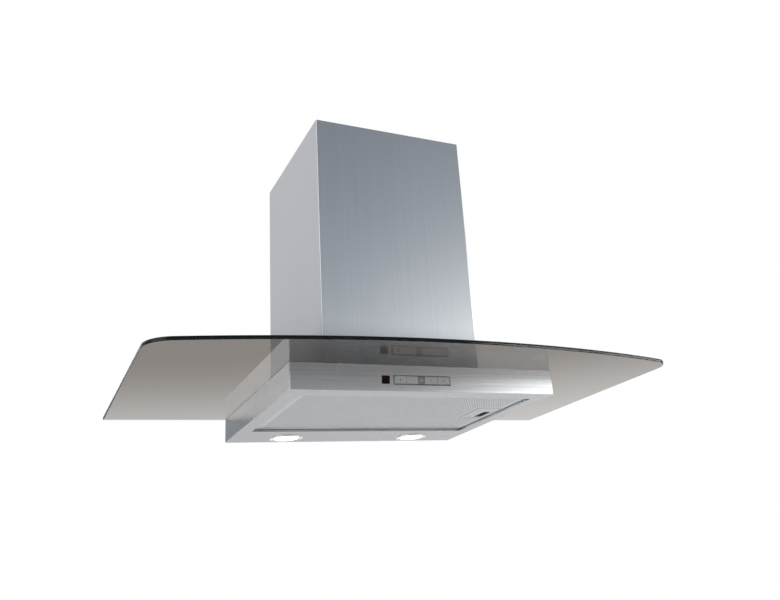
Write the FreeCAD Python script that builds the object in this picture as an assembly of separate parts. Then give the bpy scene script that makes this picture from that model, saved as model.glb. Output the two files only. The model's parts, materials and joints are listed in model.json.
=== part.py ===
import FreeCAD, Part
import math
import os

os.makedirs("parts", exist_ok=True)
V = FreeCAD.Vector

# Wall range hood: a low stainless body under a smoked glass sheet, with the blower in a
# telescopic chimney above. Millimetres. +X is the user's right when facing the hood,
# +Y points into the wall (the wall is y = 0), +Z is up. The origin is the centre of the
# four wall holes, on the wall.

# ---- Driving dimensions --------------------------------------------------------------
GLASS_WIDTH = 898.0
GLASS_THICKNESS = 6.0
GLASS_OVERHANG = 132.0          # glass in front of the body, at the centre
GLASS_FRONT_RADIUS = 1740.0
GLASS_CORNER_RADIUS = 45.0
BODY_WIDTH = 470.0
BODY_DEPTH = 425.0
BODY_DROP = 43.0                # body below the glass
FOLD_RADIUS = 2.0
SHEET = 1.0                     # stainless and galvanised sheet
CHIMNEY_WIDTH = 295.0
CHIMNEY_DEPTH = 322.0
LOWER_COVER_HEIGHT = 490.0
UPPER_COVER_HEIGHT = 450.0
COVER_LIP = 11.0                # inward flange along the wall
WALL_HOLE_RISE = 110.0          # wall hole centre above the underside of the glass
WALL_HOLE_SPACING_X = 253.0
WALL_HOLE_SPACING_Z = 160.0
WALL_HOLE_RADIUS = 4.0

# Underside
RIM_SIDE = 24.0
RIM_FRONT = 38.0
RIM_REAR = 104.0
LIP_HEIGHT = 4.0
LIP_CORNER_GAP = 16.0
DECK_TAB_LENGTH = 24.0
DECK_TAB_HEIGHT = 12.0
DECK_TAB_SHARE = 0.2            # of the body's depth, from each end to a tab
LAMP_SPACING = 260.0
LAMP_TO_WALL = 42.0
LAMP_RING_RADIUS = 31.0
LAMP_LENS_RADIUS = 23.0
LAMP_BODY_RADIUS = 27.0
LAMP_BODY_HEIGHT = 28.0
LAMP_RING_HEIGHT = 1.5
LENS_THICKNESS = 2.0
LAMP_CLIP = 4.5
LENS_FIT = 0.1

# Grease filter
FILTER_GAP = 2.0                # round the filter in its opening
FILTER_THICKNESS = 10.0
FILTER_BORDER = 6.0
FACE_SHEET = 0.8
GRID_THICKNESS = 0.8
MEDIA_LAYERS = 3
MEDIA_THICKNESS = 0.5
PIVOT_INSET = 6.0
PIVOT_RADIUS = 2.0
EAR_THICKNESS = 1.5
EAR_HALF = 7.0
HANDLE_WIDTH = 46.0
HANDLE_LENGTH = 80.0
HANDLE_FROM_FRONT = 133.0       # body front to the near end of the handle
HANDLE_WALL = 1.2
PULL_LENGTH = 43.0
PULL_WIDTH = 16.0
PULL_FROM_FRONT = 163.0
PULL_TO_EDGE = 4.0
LATCH_WIDTH = 16.0
LATCH_THICKNESS = 2.5
LATCH_REACH = 3.5               # bolt past the edge of the rim opening
LATCH_TRAVEL = 6.0
FINGER_WALL = 2.5
CARRIAGE_MARGIN = 3.0
SPRING_HALF = 14.0
SPRING_LEAF = 0.6

# Controls
CONTROL_DROP = 24.4             # centre line of the controls below the glass
CONTROL_LEFT = -66.0            # left end of the key strip
KEY_WIDTHS = (20.0, 20.0, 11.5, 22.0, 22.0)
KEY_NAMES = ("key_light", "key_minus", "key_fan", "key_plus", "key_timer")
KEY_HEIGHT = 12.2
KEY_GAP = 0.5
KEY_PROUD = 0.8
KEY_TRAVEL = 1.2
KEY_STEM_RADIUS = 2.0
KEY_COLLAR_RADIUS = 3.0
BEZEL_WIDTH = 0.9
BEZEL_PROUD = 0.4
WINDOW_SIZE = 13.0
WINDOW_TO_KEYS = 8.0
GUIDE_SETBACK = 5.5             # body front to the key guide
GUIDE_THICKNESS = 3.0
BOARD_SETBACK = 14.0
BOARD_THICKNESS = 1.6
CARRIER_WALL = 1.5
CARRIER_MARGIN = 14.0
CARRIER_HEIGHT = 30.0

# Blower
BLOWER_BOX_WIDTH = 236.0
BLOWER_BOX_DEPTH = 294.0
BLOWER_BOX_HEIGHT = 254.0
BLOWER_FLANGE = 12.0
GLASS_LEDGE = 16.0              # glass showing inside the blower box walls
SCROLL_START_RADIUS = 98.0
SCROLL_STEP = 10.0
SCROLL_WIDTH = 116.0
SCROLL_WALL = 2.0
SCROLL_TO_WALL = 140.0          # fan axis to the wall
SCROLL_INLET_RADIUS = 74.0
FAN_RISE = 12.0                 # fan axis above the wall hole centre
IMPELLER_RADIUS = 88.0
IMPELLER_WIDTH = 100.0
BLADE_DEPTH = 13.0
BLADE_COUNT = 30
BLADE_THICKNESS = 1.0
BLADE_LEAN = 32.0
BLADE_INSET = 0.8
WHEEL_PLATE = 2.0
SHAFT_END = 4.0                 # shaft past the hub and past the motor bracket
SHAFT_RADIUS = 4.0
HUB_RADIUS = 12.0
MOTOR_RADIUS = 50.0
MOTOR_LENGTH = 42.0
MOTOR_ROUNDING = 4.0
SPIDER_HUB_RADIUS = 30.0
SPIDER_ARM = 14.0
SPIDER_THICKNESS = 2.5
SPIDER_ARMS = 3
RING_WIDTH = 8.0                # bracket and guard rings round the inlets
GUARD_BAR = 2.0
GUARD_SPOKES = 3
OUTLET_RADIUS = 74.5
OUTLET_WALL = 2.0
OUTLET_HEIGHT = 50.0
OUTLET_TO_WALL = 204.0
OUTLET_MARGIN = 6.0
LEDGE_WIDTH = 3.0
FLAP_RISE = 11.0                # flap pin above the outlet flange
FLAP_THICKNESS = 1.5
FLAP_PIN_RADIUS = 1.5
FLAP_KNUCKLE_RADIUS = 4.0
KNUCKLE_LENGTH = 14.0
KNUCKLE_INNER = 26.0            # pin centre to the front flap's knuckles
KNUCKLE_STEP = 18.0             # from those to the rear flap's
PLATE_THICKNESS = 2.0           # wall plate and chimney bracket

# Electrical parts on the blower box
TERMINAL_WIDTH = 92.0
TERMINAL_HEIGHT = 62.0
TERMINAL_DEPTH = 14.0
TERMINAL_WALL = 2.0
TERMINAL_COVER = 3.0
TERMINAL_RISE = 60.0            # above the wall hole centre
CAPACITOR_RADIUS = 16.0
CAPACITOR_LENGTH = 62.0
CAPACITOR_X = -62.0
STRAP_WIDTH = 12.0
STRAP_FOOT = 10.0
GLAND_X = 70.0
GLAND_RADIUS = 12.0
GLAND_NUT_RADIUS = 10.0
GLAND_BORE_RADIUS = 4.0
GLAND_FLANGE = 6.0
GLAND_NUT = 9.0
REAR_PARTS_TO_WALL = 60.0

# Chimney fixings
CLIP_THICKNESS = 1.5
CLIP_DEPTH = 14.0
CLIP_HEIGHT = 18.0
CLIP_RISE = 4.3                 # clip foot above the glass
CLIP_FROM_FRONT = 70.0          # behind the front of the blower box
BRACKET_HALF = 120.0
BRACKET_HEIGHT = 28.0
BRACKET_WEB = 8.0
BRACKET_EAR = 22.0
CHIMNEY_HOLE_SPACING = 180.0
CHIMNEY_HOLE_RADIUS = 3.0
COVER_FOOT_GAP = 13.7           # upper cover above the clips, pushed in
BRACKET_DROP = 6.0

# Screws: shank radius, head radius and head height
BOLT_RADIUS = 2.5
BOLT_HEAD_RADIUS = 4.5
BOLT_HEAD = 3.0
NUT_RADIUS = 4.0
NUT_HEIGHT = 4.0
BUSH_RADIUS = 4.5
BOLT_INSET = 30.0               # end bolts from the ends of the blower box
SCREW_RADIUS = 1.5
SCREW_HEAD_RADIUS = 2.9
SCREW_HEAD = 2.0

# Fits
RUNNING_FIT = 0.05              # round a pin, stem or shaft
SLIDE_GAP = 0.6                 # between the two chimney covers, each side
SEAT_GAP = 0.3
GASKET = 1.0
GASKET_INSET = 3.0
GASKET_WIDTH = 12.0

# ---- Levels and places worked out from the above -------------------------------------
GLASS_UNDER = -WALL_HOLE_RISE
GLASS_TOP = GLASS_UNDER + GLASS_THICKNESS
RIM_UNDER = GLASS_UNDER - BODY_DROP
RIM_TOP = RIM_UNDER + SHEET
LIP_TOP = RIM_UNDER + LIP_HEIGHT
BODY_TOP = GLASS_UNDER - SEAT_GAP
DECK_TOP = GLASS_UNDER - GASKET
DECK_UNDER = DECK_TOP - SHEET
BODY_HALF = BODY_WIDTH / 2
BODY_FRONT = -BODY_DEPTH

OPEN_HALF = BODY_HALF - RIM_SIDE
OPEN_FRONT = BODY_FRONT + RIM_FRONT
OPEN_REAR = -RIM_REAR

FILTER_HALF = OPEN_HALF - FILTER_GAP
FILTER_FRONT = OPEN_FRONT + FILTER_GAP
FILTER_REAR = OPEN_REAR - FILTER_GAP
FILTER_UNDER = LIP_TOP
FILTER_TOP = FILTER_UNDER + FILTER_THICKNESS
PIVOT_X = -FILTER_HALF + PIVOT_INSET
PIVOT_Z = FILTER_UNDER + FILTER_THICKNESS / 2

HANDLE_RIGHT = FILTER_HALF - FILTER_BORDER
HANDLE_LEFT = HANDLE_RIGHT - HANDLE_WIDTH
HANDLE_FRONT = BODY_FRONT + HANDLE_FROM_FRONT
HANDLE_REAR = HANDLE_FRONT + HANDLE_LENGTH
PULL_FRONT = BODY_FRONT + PULL_FROM_FRONT
PULL_REAR = PULL_FRONT + PULL_LENGTH
PULL_RIGHT = HANDLE_RIGHT - PULL_TO_EDGE
PULL_LEFT = PULL_RIGHT - PULL_WIDTH
PULL_MIDDLE = (PULL_FRONT + PULL_REAR) / 2
LATCH_UNDER = FILTER_UNDER + HANDLE_WALL + SEAT_GAP
LATCH_TOP = LATCH_UNDER + LATCH_THICKNESS

CONTROL_Z = GLASS_UNDER - CONTROL_DROP
STRIP_LENGTH = sum(KEY_WIDTHS) + KEY_GAP * (len(KEY_WIDTHS) + 1)
CONTROL_RIGHT = CONTROL_LEFT + STRIP_LENGTH
WINDOW_RIGHT = CONTROL_LEFT - WINDOW_TO_KEYS
WINDOW_LEFT = WINDOW_RIGHT - WINDOW_SIZE
PANEL_INSIDE = BODY_FRONT + SHEET
GUIDE_FRONT = BODY_FRONT + GUIDE_SETBACK
GUIDE_BACK = GUIDE_FRONT + GUIDE_THICKNESS
BOARD_FRONT = BODY_FRONT + BOARD_SETBACK
BOARD_BACK = BOARD_FRONT + BOARD_THICKNESS
CARRIER_BACK = BOARD_BACK + CARRIER_WALL
CARRIER_LEFT = WINDOW_LEFT - CARRIER_MARGIN
CARRIER_RIGHT = CONTROL_RIGHT + CARRIER_MARGIN
CARRIER_LOW = CONTROL_Z - CARRIER_HEIGHT / 2
CARRIER_HIGH = CONTROL_Z + CARRIER_HEIGHT / 2

BOX_HALF = BLOWER_BOX_WIDTH / 2
BOX_REAR = -PLATE_THICKNESS
BOX_FRONT = BOX_REAR - BLOWER_BOX_DEPTH
BOX_TOP = GLASS_TOP + BLOWER_BOX_HEIGHT
BOX_CEILING = BOX_TOP - SHEET
HOLE_HALF = BOX_HALF - SHEET - GLASS_LEDGE
HOLE_FRONT = BOX_FRONT + SHEET + GLASS_LEDGE
HOLE_REAR = BOX_REAR - SHEET - GLASS_LEDGE
FAN_Y = -SCROLL_TO_WALL
SCROLL_HALF = SCROLL_WIDTH / 2
NECK_FRONT = FAN_Y - SCROLL_STEP - SCROLL_START_RADIUS - 2 * SCROLL_STEP
NECK_REAR = FAN_Y
OUTLET_Y = -OUTLET_TO_WALL
FLANGE_TOP = BOX_TOP + OUTLET_WALL
OUTLET_TOP = FLANGE_TOP + OUTLET_HEIGHT
FLAP_Z = FLANGE_TOP + FLAP_RISE
FLAP_RADIUS = OUTLET_RADIUS - OUTLET_WALL - 2 * SEAT_GAP
COVER_HALF = CHIMNEY_WIDTH / 2
LOWER_COVER_TOP = GLASS_TOP + LOWER_COVER_HEIGHT
CLIP_FOOT = GLASS_TOP + CLIP_RISE
CLIP_TOP = CLIP_FOOT + CLIP_HEIGHT
UPPER_COVER_FOOT = CLIP_TOP + COVER_FOOT_GAP
UPPER_COVER_TOP = UPPER_COVER_FOOT + UPPER_COVER_HEIGHT
UPPER_HALF = COVER_HALF - SHEET - SLIDE_GAP
UPPER_FRONT = -CHIMNEY_DEPTH + SHEET + SLIDE_GAP
UPPER_REAR = -SHEET - SLIDE_GAP
BRACKET_HIGH = UPPER_COVER_TOP - BRACKET_DROP
BRACKET_LOW = BRACKET_HIGH - BRACKET_HEIGHT
WALL_PLATE_HALF = UPPER_HALF - COVER_LIP - 2 * SEAT_GAP
REAR_PARTS_Y = -REAR_PARTS_TO_WALL
BUSH_BORE = BOLT_RADIUS + SEAT_GAP


# ---- Building blocks -----------------------------------------------------------------
def block(x0, x1, y0, y1, z0, z1):
    """A box between two corners."""
    return Part.makeBox(x1 - x0, y1 - y0, z1 - z0, V(x0, y0, z0))


def rod(start, direction, radius, length):
    """A solid cylinder from a point along a direction."""
    return Part.makeCylinder(radius, length, V(*start), V(*direction))


def pipe(start, direction, outer, inner, length):
    """A round tube."""
    return rod(start, direction, outer, length).cut(rod(start, direction, inner, length))


def upright_edges(shape, x_test, y_test):
    """The vertical straight edges whose x and y pass the two tests."""
    found = []
    for edge in shape.Edges:
        ends = [vertex.Point for vertex in edge.Vertexes]
        if len(ends) != 2 or abs(ends[0].z - ends[1].z) < SHEET / 2:
            continue
        flat = abs(ends[0].x - ends[1].x) + abs(ends[0].y - ends[1].y)
        if flat < 0.001 and x_test(ends[0].x) and y_test(ends[0].y):
            found.append(edge)
    return found


def folded(x0, x1, y0, y1, z0, z1, radius, front_only=False):
    """A box with its vertical edges rounded as a folded sheet is."""
    solid = block(x0, x1, y0, y1, z0, z1)
    middle = (y0 + y1) / 2
    edges = upright_edges(solid, lambda x: True, lambda y: y < middle or not front_only)
    return solid.makeFillet(radius, edges)


def save(name, *solids):
    """Write one node: a single solid or a group of separate ones."""
    shape = solids[0] if len(solids) == 1 else Part.makeCompound(list(solids))
    shape = shape.removeSplitter() if len(solids) == 1 else shape
    shape.exportStep("parts/%s.step" % name)


def join(first, *others):
    """Fuse solids into one."""
    return first.fuse(list(others)).removeSplitter() if others else first


def screw(head_centre, inward, length):
    """A small screw whose head stands on a face and whose shank points inward."""
    out = tuple(-value for value in inward)
    head = rod(head_centre, out, SCREW_HEAD_RADIUS, SCREW_HEAD)
    return join(head, rod(head_centre, inward, SCREW_RADIUS, length))


def span(a, b):
    """The two values in rising order."""
    return min(a, b), max(a, b)


# ---- Glass ---------------------------------------------------------------------------
def bolt_places():
    """Centres of the six bolts through the blower box flange, glass and deck."""
    x = BOX_HALF + BLOWER_FLANGE / 2
    ys = (BOX_FRONT + BOLT_INSET, (BOX_FRONT + BOX_REAR) / 2, BOX_REAR - BOLT_INSET)
    return [(side * x, y) for side in (-1, 1) for y in ys]


def glass_canopy():
    """A flat sheet whose front edge is one long arc with rounded corners."""
    half = GLASS_WIDTH / 2
    apex = BODY_FRONT - GLASS_OVERHANG
    sag = GLASS_FRONT_RADIUS - math.sqrt(GLASS_FRONT_RADIUS ** 2 - half ** 2)
    corners = [V(-half, 0, 0), V(-half, apex + sag, 0), V(half, apex + sag, 0), V(half, 0, 0)]
    edges = [
        Part.LineSegment(corners[0], corners[1]).toShape(),
        Part.Arc(corners[1], V(0, apex, 0), corners[2]).toShape(),
        Part.LineSegment(corners[2], corners[3]).toShape(),
        Part.LineSegment(corners[3], corners[0]).toShape(),
    ]
    sheet = Part.Face(Part.Wire(edges)).extrude(V(0, 0, GLASS_THICKNESS))
    sheet.translate(V(0, 0, GLASS_UNDER))
    front = upright_edges(sheet, lambda x: True, lambda y: y < BODY_FRONT / 2)
    sheet = sheet.makeFillet(GLASS_CORNER_RADIUS, front)
    opening = folded(-HOLE_HALF, HOLE_HALF, HOLE_FRONT, HOLE_REAR,
                     GLASS_UNDER - 1, GLASS_TOP + 1, GLASS_LEDGE)
    holes = [rod((x, y, GLASS_UNDER - 1), (0, 0, 1), BUSH_RADIUS, GLASS_THICKNESS + 2)
             for x, y in bolt_places()]
    save("glass_canopy", sheet.cut([opening] + holes))


def glass_fixings():
    """Bushes in the glass, bolts with their nuts, and the soft gasket on the deck."""
    bushes = [pipe((x, y, GLASS_UNDER), (0, 0, 1), BUSH_RADIUS, BUSH_BORE, GLASS_THICKNESS)
              for x, y in bolt_places()]
    save("glass_bushes", *bushes)
    bolts = []
    top = GLASS_TOP + SHEET
    end = DECK_UNDER - NUT_HEIGHT - SHEET
    for x, y in bolt_places():
        shank = rod((x, y, end), (0, 0, 1), BOLT_RADIUS, top - end)
        head = rod((x, y, top), (0, 0, 1), BOLT_HEAD_RADIUS, BOLT_HEAD)
        nut = rod((x, y, DECK_UNDER - NUT_HEIGHT), (0, 0, 1), NUT_RADIUS, NUT_HEIGHT)
        bolts.append(join(shank, head, nut))
    save("glass_bolts", *bolts)
    inset = GASKET_INSET
    width = GASKET_WIDTH
    outer = block(-BODY_HALF + inset, BODY_HALF - inset, BODY_FRONT + inset, -inset,
                  DECK_TOP, GLASS_UNDER)
    inner = block(-BODY_HALF + inset + width, BODY_HALF - inset - width,
                  BODY_FRONT + inset + width, -inset - width, DECK_TOP, GLASS_UNDER)
    edge = GLASS_LEDGE + BLOWER_FLANGE + SHEET
    round_hole = block(-HOLE_HALF - edge, HOLE_HALF + edge, HOLE_FRONT - edge, -inset - width - SEAT_GAP,
                       DECK_TOP, GLASS_UNDER)
    hole = block(-HOLE_HALF, HOLE_HALF, HOLE_FRONT, HOLE_REAR - SEAT_GAP, DECK_TOP, GLASS_UNDER)
    shanks = [rod((x, y, DECK_TOP), (0, 0, 1), BUSH_RADIUS, GASKET) for x, y in bolt_places()]
    save("glass_gasket", outer.cut(inner), round_hole.cut([hole] + shanks))


# ---- Body ----------------------------------------------------------------------------
def body_wrapper():
    """The folded stainless band: front face with the control cut-outs, sides and back."""
    outer = folded(-BODY_HALF, BODY_HALF, BODY_FRONT, 0, RIM_UNDER, BODY_TOP, FOLD_RADIUS)
    inner = folded(-BODY_HALF + SHEET, BODY_HALF - SHEET, PANEL_INSIDE, -SHEET,
                   RIM_UNDER - 1, BODY_TOP + 1, FOLD_RADIUS - SHEET)
    band = outer.cut(inner)
    reach = BEZEL_WIDTH + SEAT_GAP
    strip = block(CONTROL_LEFT - reach, CONTROL_RIGHT + reach, BODY_FRONT - 1, PANEL_INSIDE + 1,
                  CONTROL_Z - KEY_HEIGHT / 2 - KEY_GAP - reach,
                  CONTROL_Z + KEY_HEIGHT / 2 + KEY_GAP + reach)
    window = block(WINDOW_LEFT - SEAT_GAP, WINDOW_RIGHT + SEAT_GAP, BODY_FRONT - 1, PANEL_INSIDE + 1,
                   CONTROL_Z - WINDOW_SIZE / 2 - SEAT_GAP, CONTROL_Z + WINDOW_SIZE / 2 + SEAT_GAP)
    save("body_wrapper", band.cut([strip, window]))


def lamp_centres():
    """The two lamp centres on the rear rim."""
    return {"left": (-LAMP_SPACING / 2, -LAMP_TO_WALL), "right": (LAMP_SPACING / 2, -LAMP_TO_WALL)}


def rim_panel():
    """The underside plate with the filter opening, its turned-up lips and the lamp holes."""
    inside = BODY_HALF - SHEET
    plate = folded(-inside, inside, PANEL_INSIDE, -SHEET, RIM_UNDER, RIM_TOP, FOLD_RADIUS - SHEET)
    opening = block(-OPEN_HALF, OPEN_HALF, OPEN_FRONT, OPEN_REAR, RIM_UNDER - 1, RIM_TOP + 1)
    holes = [rod((x, y, RIM_UNDER - 1), (0, 0, 1), LAMP_BODY_RADIUS + SEAT_GAP, SHEET + 2)
             for x, y in lamp_centres().values()]
    gap = LIP_CORNER_GAP
    lips = [
        block(-OPEN_HALF + gap, OPEN_HALF + SHEET, OPEN_REAR, OPEN_REAR + SHEET, RIM_UNDER, LIP_TOP),
        block(OPEN_HALF, OPEN_HALF + SHEET, OPEN_FRONT + gap, OPEN_REAR + SHEET, RIM_UNDER, LIP_TOP),
        block(-OPEN_HALF - SHEET, OPEN_HALF - gap, OPEN_FRONT - SHEET, OPEN_FRONT, RIM_UNDER, LIP_TOP),
        block(-OPEN_HALF - SHEET, -OPEN_HALF, OPEN_FRONT - SHEET, OPEN_REAR - gap, RIM_UNDER, LIP_TOP),
    ]
    keeper = block(OPEN_HALF, OPEN_HALF + SHEET, PULL_MIDDLE - LATCH_WIDTH, PULL_MIDDLE + LATCH_WIDTH,
                   RIM_UNDER, LATCH_UNDER - SEAT_GAP)
    lips.append(keeper)
    save("rim_panel", join(plate.cut([opening] + holes), *lips))


def deck_plate():
    """The galvanised plate that closes the body under the glass and carries it."""
    edge = SHEET + SEAT_GAP / 3
    plate = block(-BODY_HALF + edge, BODY_HALF - edge, BODY_FRONT + edge, -edge, DECK_UNDER, DECK_TOP)
    cut = FOLD_RADIUS
    corner_cuts = [block(x - cut, x + cut, y - cut, y + cut, DECK_UNDER - 1, DECK_TOP + 1)
                   for x in (-BODY_HALF + edge, BODY_HALF - edge) for y in (BODY_FRONT + edge, -edge)]
    hole = folded(-HOLE_HALF, HOLE_HALF, HOLE_FRONT, HOLE_REAR,
                  DECK_UNDER - 1, DECK_TOP + 1, GLASS_LEDGE)
    shanks = [rod((x, y, DECK_UNDER - 1), (0, 0, 1), BUSH_BORE, SHEET + 2) for x, y in bolt_places()]
    tabs = []
    for x in (-BODY_HALF + edge, BODY_HALF - edge - SHEET):
        for y in (BODY_FRONT * (1 - DECK_TAB_SHARE), BODY_FRONT * DECK_TAB_SHARE):
            tabs.append(block(x, x + SHEET, y - DECK_TAB_LENGTH / 2, y + DECK_TAB_LENGTH / 2,
                              DECK_TOP - DECK_TAB_HEIGHT, DECK_TOP))
    save("deck_plate", join(plate.cut([hole] + corner_cuts + shanks), *tabs))


# ---- Controls ------------------------------------------------------------------------
def key_places():
    """Each key's name, centre and width along the strip."""
    places = []
    x = CONTROL_LEFT + KEY_GAP
    for name, width in zip(KEY_NAMES, KEY_WIDTHS):
        places.append((name, x + width / 2, width))
        x += width + KEY_GAP
    return places


def keys():
    """Five flat caps, each on a stem that runs in the guide and ends in a snap collar."""
    for name, x, width in key_places():
        cap = block(x - width / 2, x + width / 2,
                    BODY_FRONT - KEY_PROUD, GUIDE_FRONT - KEY_TRAVEL - SEAT_GAP,
                    CONTROL_Z - KEY_HEIGHT / 2, CONTROL_Z + KEY_HEIGHT / 2)
        stem = rod((x, BODY_FRONT, CONTROL_Z), (0, 1, 0), KEY_STEM_RADIUS,
                   GUIDE_BACK + SHEET - BODY_FRONT)
        collar = rod((x, GUIDE_BACK + SEAT_GAP / 3, CONTROL_Z), (0, 1, 0), KEY_COLLAR_RADIUS, SHEET)
        save(name, join(cap, stem, collar))


def key_surround():
    """The thin frame round the key strip, and the guide plate that the stems run in."""
    inner = KEY_HEIGHT / 2 + KEY_GAP
    outer = inner + BEZEL_WIDTH
    frame = block(CONTROL_LEFT - BEZEL_WIDTH, CONTROL_RIGHT + BEZEL_WIDTH, BODY_FRONT - BEZEL_PROUD,
                  GUIDE_FRONT, CONTROL_Z - outer, CONTROL_Z + outer)
    slot = block(CONTROL_LEFT, CONTROL_RIGHT, BODY_FRONT - 1, GUIDE_FRONT + 1,
                 CONTROL_Z - inner, CONTROL_Z + inner)
    save("key_bezel", frame.cut(slot))
    plate = block(CARRIER_LEFT + CARRIER_WALL, CARRIER_RIGHT - CARRIER_WALL, GUIDE_FRONT, GUIDE_BACK,
                  CARRIER_LOW + CARRIER_WALL, CARRIER_HIGH - CARRIER_WALL)
    bores = [rod((x, GUIDE_FRONT - 1, CONTROL_Z), (0, 1, 0), KEY_STEM_RADIUS + RUNNING_FIT,
                 GUIDE_THICKNESS + 2) for _, x, _ in key_places()]
    save("key_guide", plate.cut(bores))


def carrier_screw_places():
    """The x and z of the four screws in the back of the carrier."""
    inset = 2 * SCREW_HEAD_RADIUS
    return [(x, z) for x in (CARRIER_LEFT + inset, CARRIER_RIGHT - inset)
            for z in (CARRIER_LOW + inset, CARRIER_HIGH - inset)]


def control_electronics():
    """Carrier tray behind the front face, the board in it, key domes and the display."""
    tray = block(CARRIER_LEFT, CARRIER_RIGHT, PANEL_INSIDE, CARRIER_BACK, CARRIER_LOW, CARRIER_HIGH)
    hollow = block(CARRIER_LEFT + CARRIER_WALL, CARRIER_RIGHT - CARRIER_WALL, PANEL_INSIDE - 1, BOARD_BACK,
                   CARRIER_LOW + CARRIER_WALL, CARRIER_HIGH - CARRIER_WALL)
    shanks = [rod((x, CARRIER_BACK + 1, z), (0, -1, 0), SCREW_RADIUS, CARRIER_WALL + 1)
              for x, z in carrier_screw_places()]
    save("board_carrier", tray.cut([hollow] + shanks))
    save("control_board", block(CARRIER_LEFT + CARRIER_WALL, CARRIER_RIGHT - CARRIER_WALL, BOARD_FRONT,
                                BOARD_BACK, CARRIER_LOW + CARRIER_WALL, CARRIER_HIGH - CARRIER_WALL))
    stem_end = GUIDE_BACK + SEAT_GAP / 3 + SHEET + KEY_TRAVEL + SEAT_GAP
    domes = [Part.makeCone(KEY_COLLAR_RADIUS, KEY_STEM_RADIUS, BOARD_FRONT - stem_end,
                           V(x, BOARD_FRONT, CONTROL_Z), V(0, -1, 0)) for _, x, _ in key_places()]
    save("key_domes", *domes)
    half = WINDOW_SIZE / 2
    save("display_window", block(WINDOW_LEFT, WINDOW_RIGHT, BODY_FRONT - BEZEL_PROUD, PANEL_INSIDE + SHEET,
                                 CONTROL_Z - half, CONTROL_Z + half))
    save("display_module", block(WINDOW_LEFT - 1, WINDOW_RIGHT + 1, PANEL_INSIDE + SHEET, GUIDE_FRONT,
                                 CONTROL_Z - half - 1, CONTROL_Z + half + 1))
    save("board_screws", *[screw((x, CARRIER_BACK, z), (0, -1, 0), CARRIER_WALL)
                           for x, z in carrier_screw_places()])


# ---- Lamps ---------------------------------------------------------------------------
def lamps():
    """Two flush spotlights: a ring, a lens and a can that is clipped above the rim."""
    for side, (x, y) in lamp_centres().items():
        under = RIM_UNDER - LAMP_RING_HEIGHT
        ring = pipe((x, y, under), (0, 0, 1), LAMP_RING_RADIUS, LAMP_LENS_RADIUS, LAMP_RING_HEIGHT)
        neck = pipe((x, y, RIM_UNDER), (0, 0, 1), LAMP_BODY_RADIUS, LAMP_LENS_RADIUS,
                    SHEET + LIP_HEIGHT)
        ring = join(ring, neck)
        save("lamp_ring_" + side, ring)
        save("lamp_lens_" + side, rod((x, y, under + SEAT_GAP), (0, 0, 1), LAMP_LENS_RADIUS - LENS_FIT,
                                      LENS_THICKNESS))
        foot = RIM_TOP + LIP_HEIGHT
        can = rod((x, y, foot), (0, 0, 1), LAMP_BODY_RADIUS, LAMP_BODY_HEIGHT)
        hollow = rod((x, y, foot - 1), (0, 0, 1), LAMP_LENS_RADIUS, LAMP_BODY_HEIGHT)
        inner = LAMP_BODY_RADIUS - SHEET
        outer = LAMP_BODY_RADIUS + LAMP_CLIP
        clips = [block(*span(x + turn * inner, x + turn * outer), y - LAMP_CLIP, y + LAMP_CLIP,
                       RIM_TOP, foot + LAMP_CLIP) for turn in (-1, 1)]
        neck_room = rod((x, y, RIM_TOP - 1), (0, 0, 1), LAMP_BODY_RADIUS, LIP_HEIGHT + 1)
        save("lamp_can_" + side, join(can.cut(hollow), *clips).cut(neck_room))


# ---- Grease filter -------------------------------------------------------------------
def latch_solids():
    """The slider inside the handle cup: a carriage with a finger window, its wall and the bolt."""
    carriage_left = PULL_LEFT - PULL_TO_EDGE
    carriage_right = HANDLE_RIGHT - HANDLE_WALL - SEAT_GAP
    carriage = block(carriage_left, carriage_right,
                     PULL_FRONT - CARRIAGE_MARGIN, PULL_REAR + CARRIAGE_MARGIN, LATCH_UNDER, LATCH_TOP)
    wall_right = PULL_LEFT + LATCH_TRAVEL
    front = PULL_FRONT + CARRIAGE_MARGIN
    rear = PULL_REAR - CARRIAGE_MARGIN
    window = block(wall_right, PULL_RIGHT, front, rear, LATCH_UNDER - 1, LATCH_TOP + 1)
    wall = block(wall_right - FINGER_WALL, wall_right, front, rear,
                 LATCH_UNDER, FILTER_TOP - GRID_THICKNESS - HANDLE_WALL)
    bolt = block(carriage_right - 1, OPEN_HALF + LATCH_REACH, PULL_MIDDLE - LATCH_WIDTH / 2,
                 PULL_MIDDLE + LATCH_WIDTH / 2, LATCH_UNDER, LATCH_TOP)
    return [carriage.cut(window), wall, bolt]


def bolt_slot(margin):
    """The room that the bolt slides in."""
    return block(HANDLE_RIGHT - HANDLE_WALL - 1, FILTER_HALF + 1, PULL_MIDDLE - LATCH_WIDTH / 2 - margin,
                 PULL_MIDDLE + LATCH_WIDTH / 2 + margin, LATCH_UNDER - margin, LATCH_TOP + margin)


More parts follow.
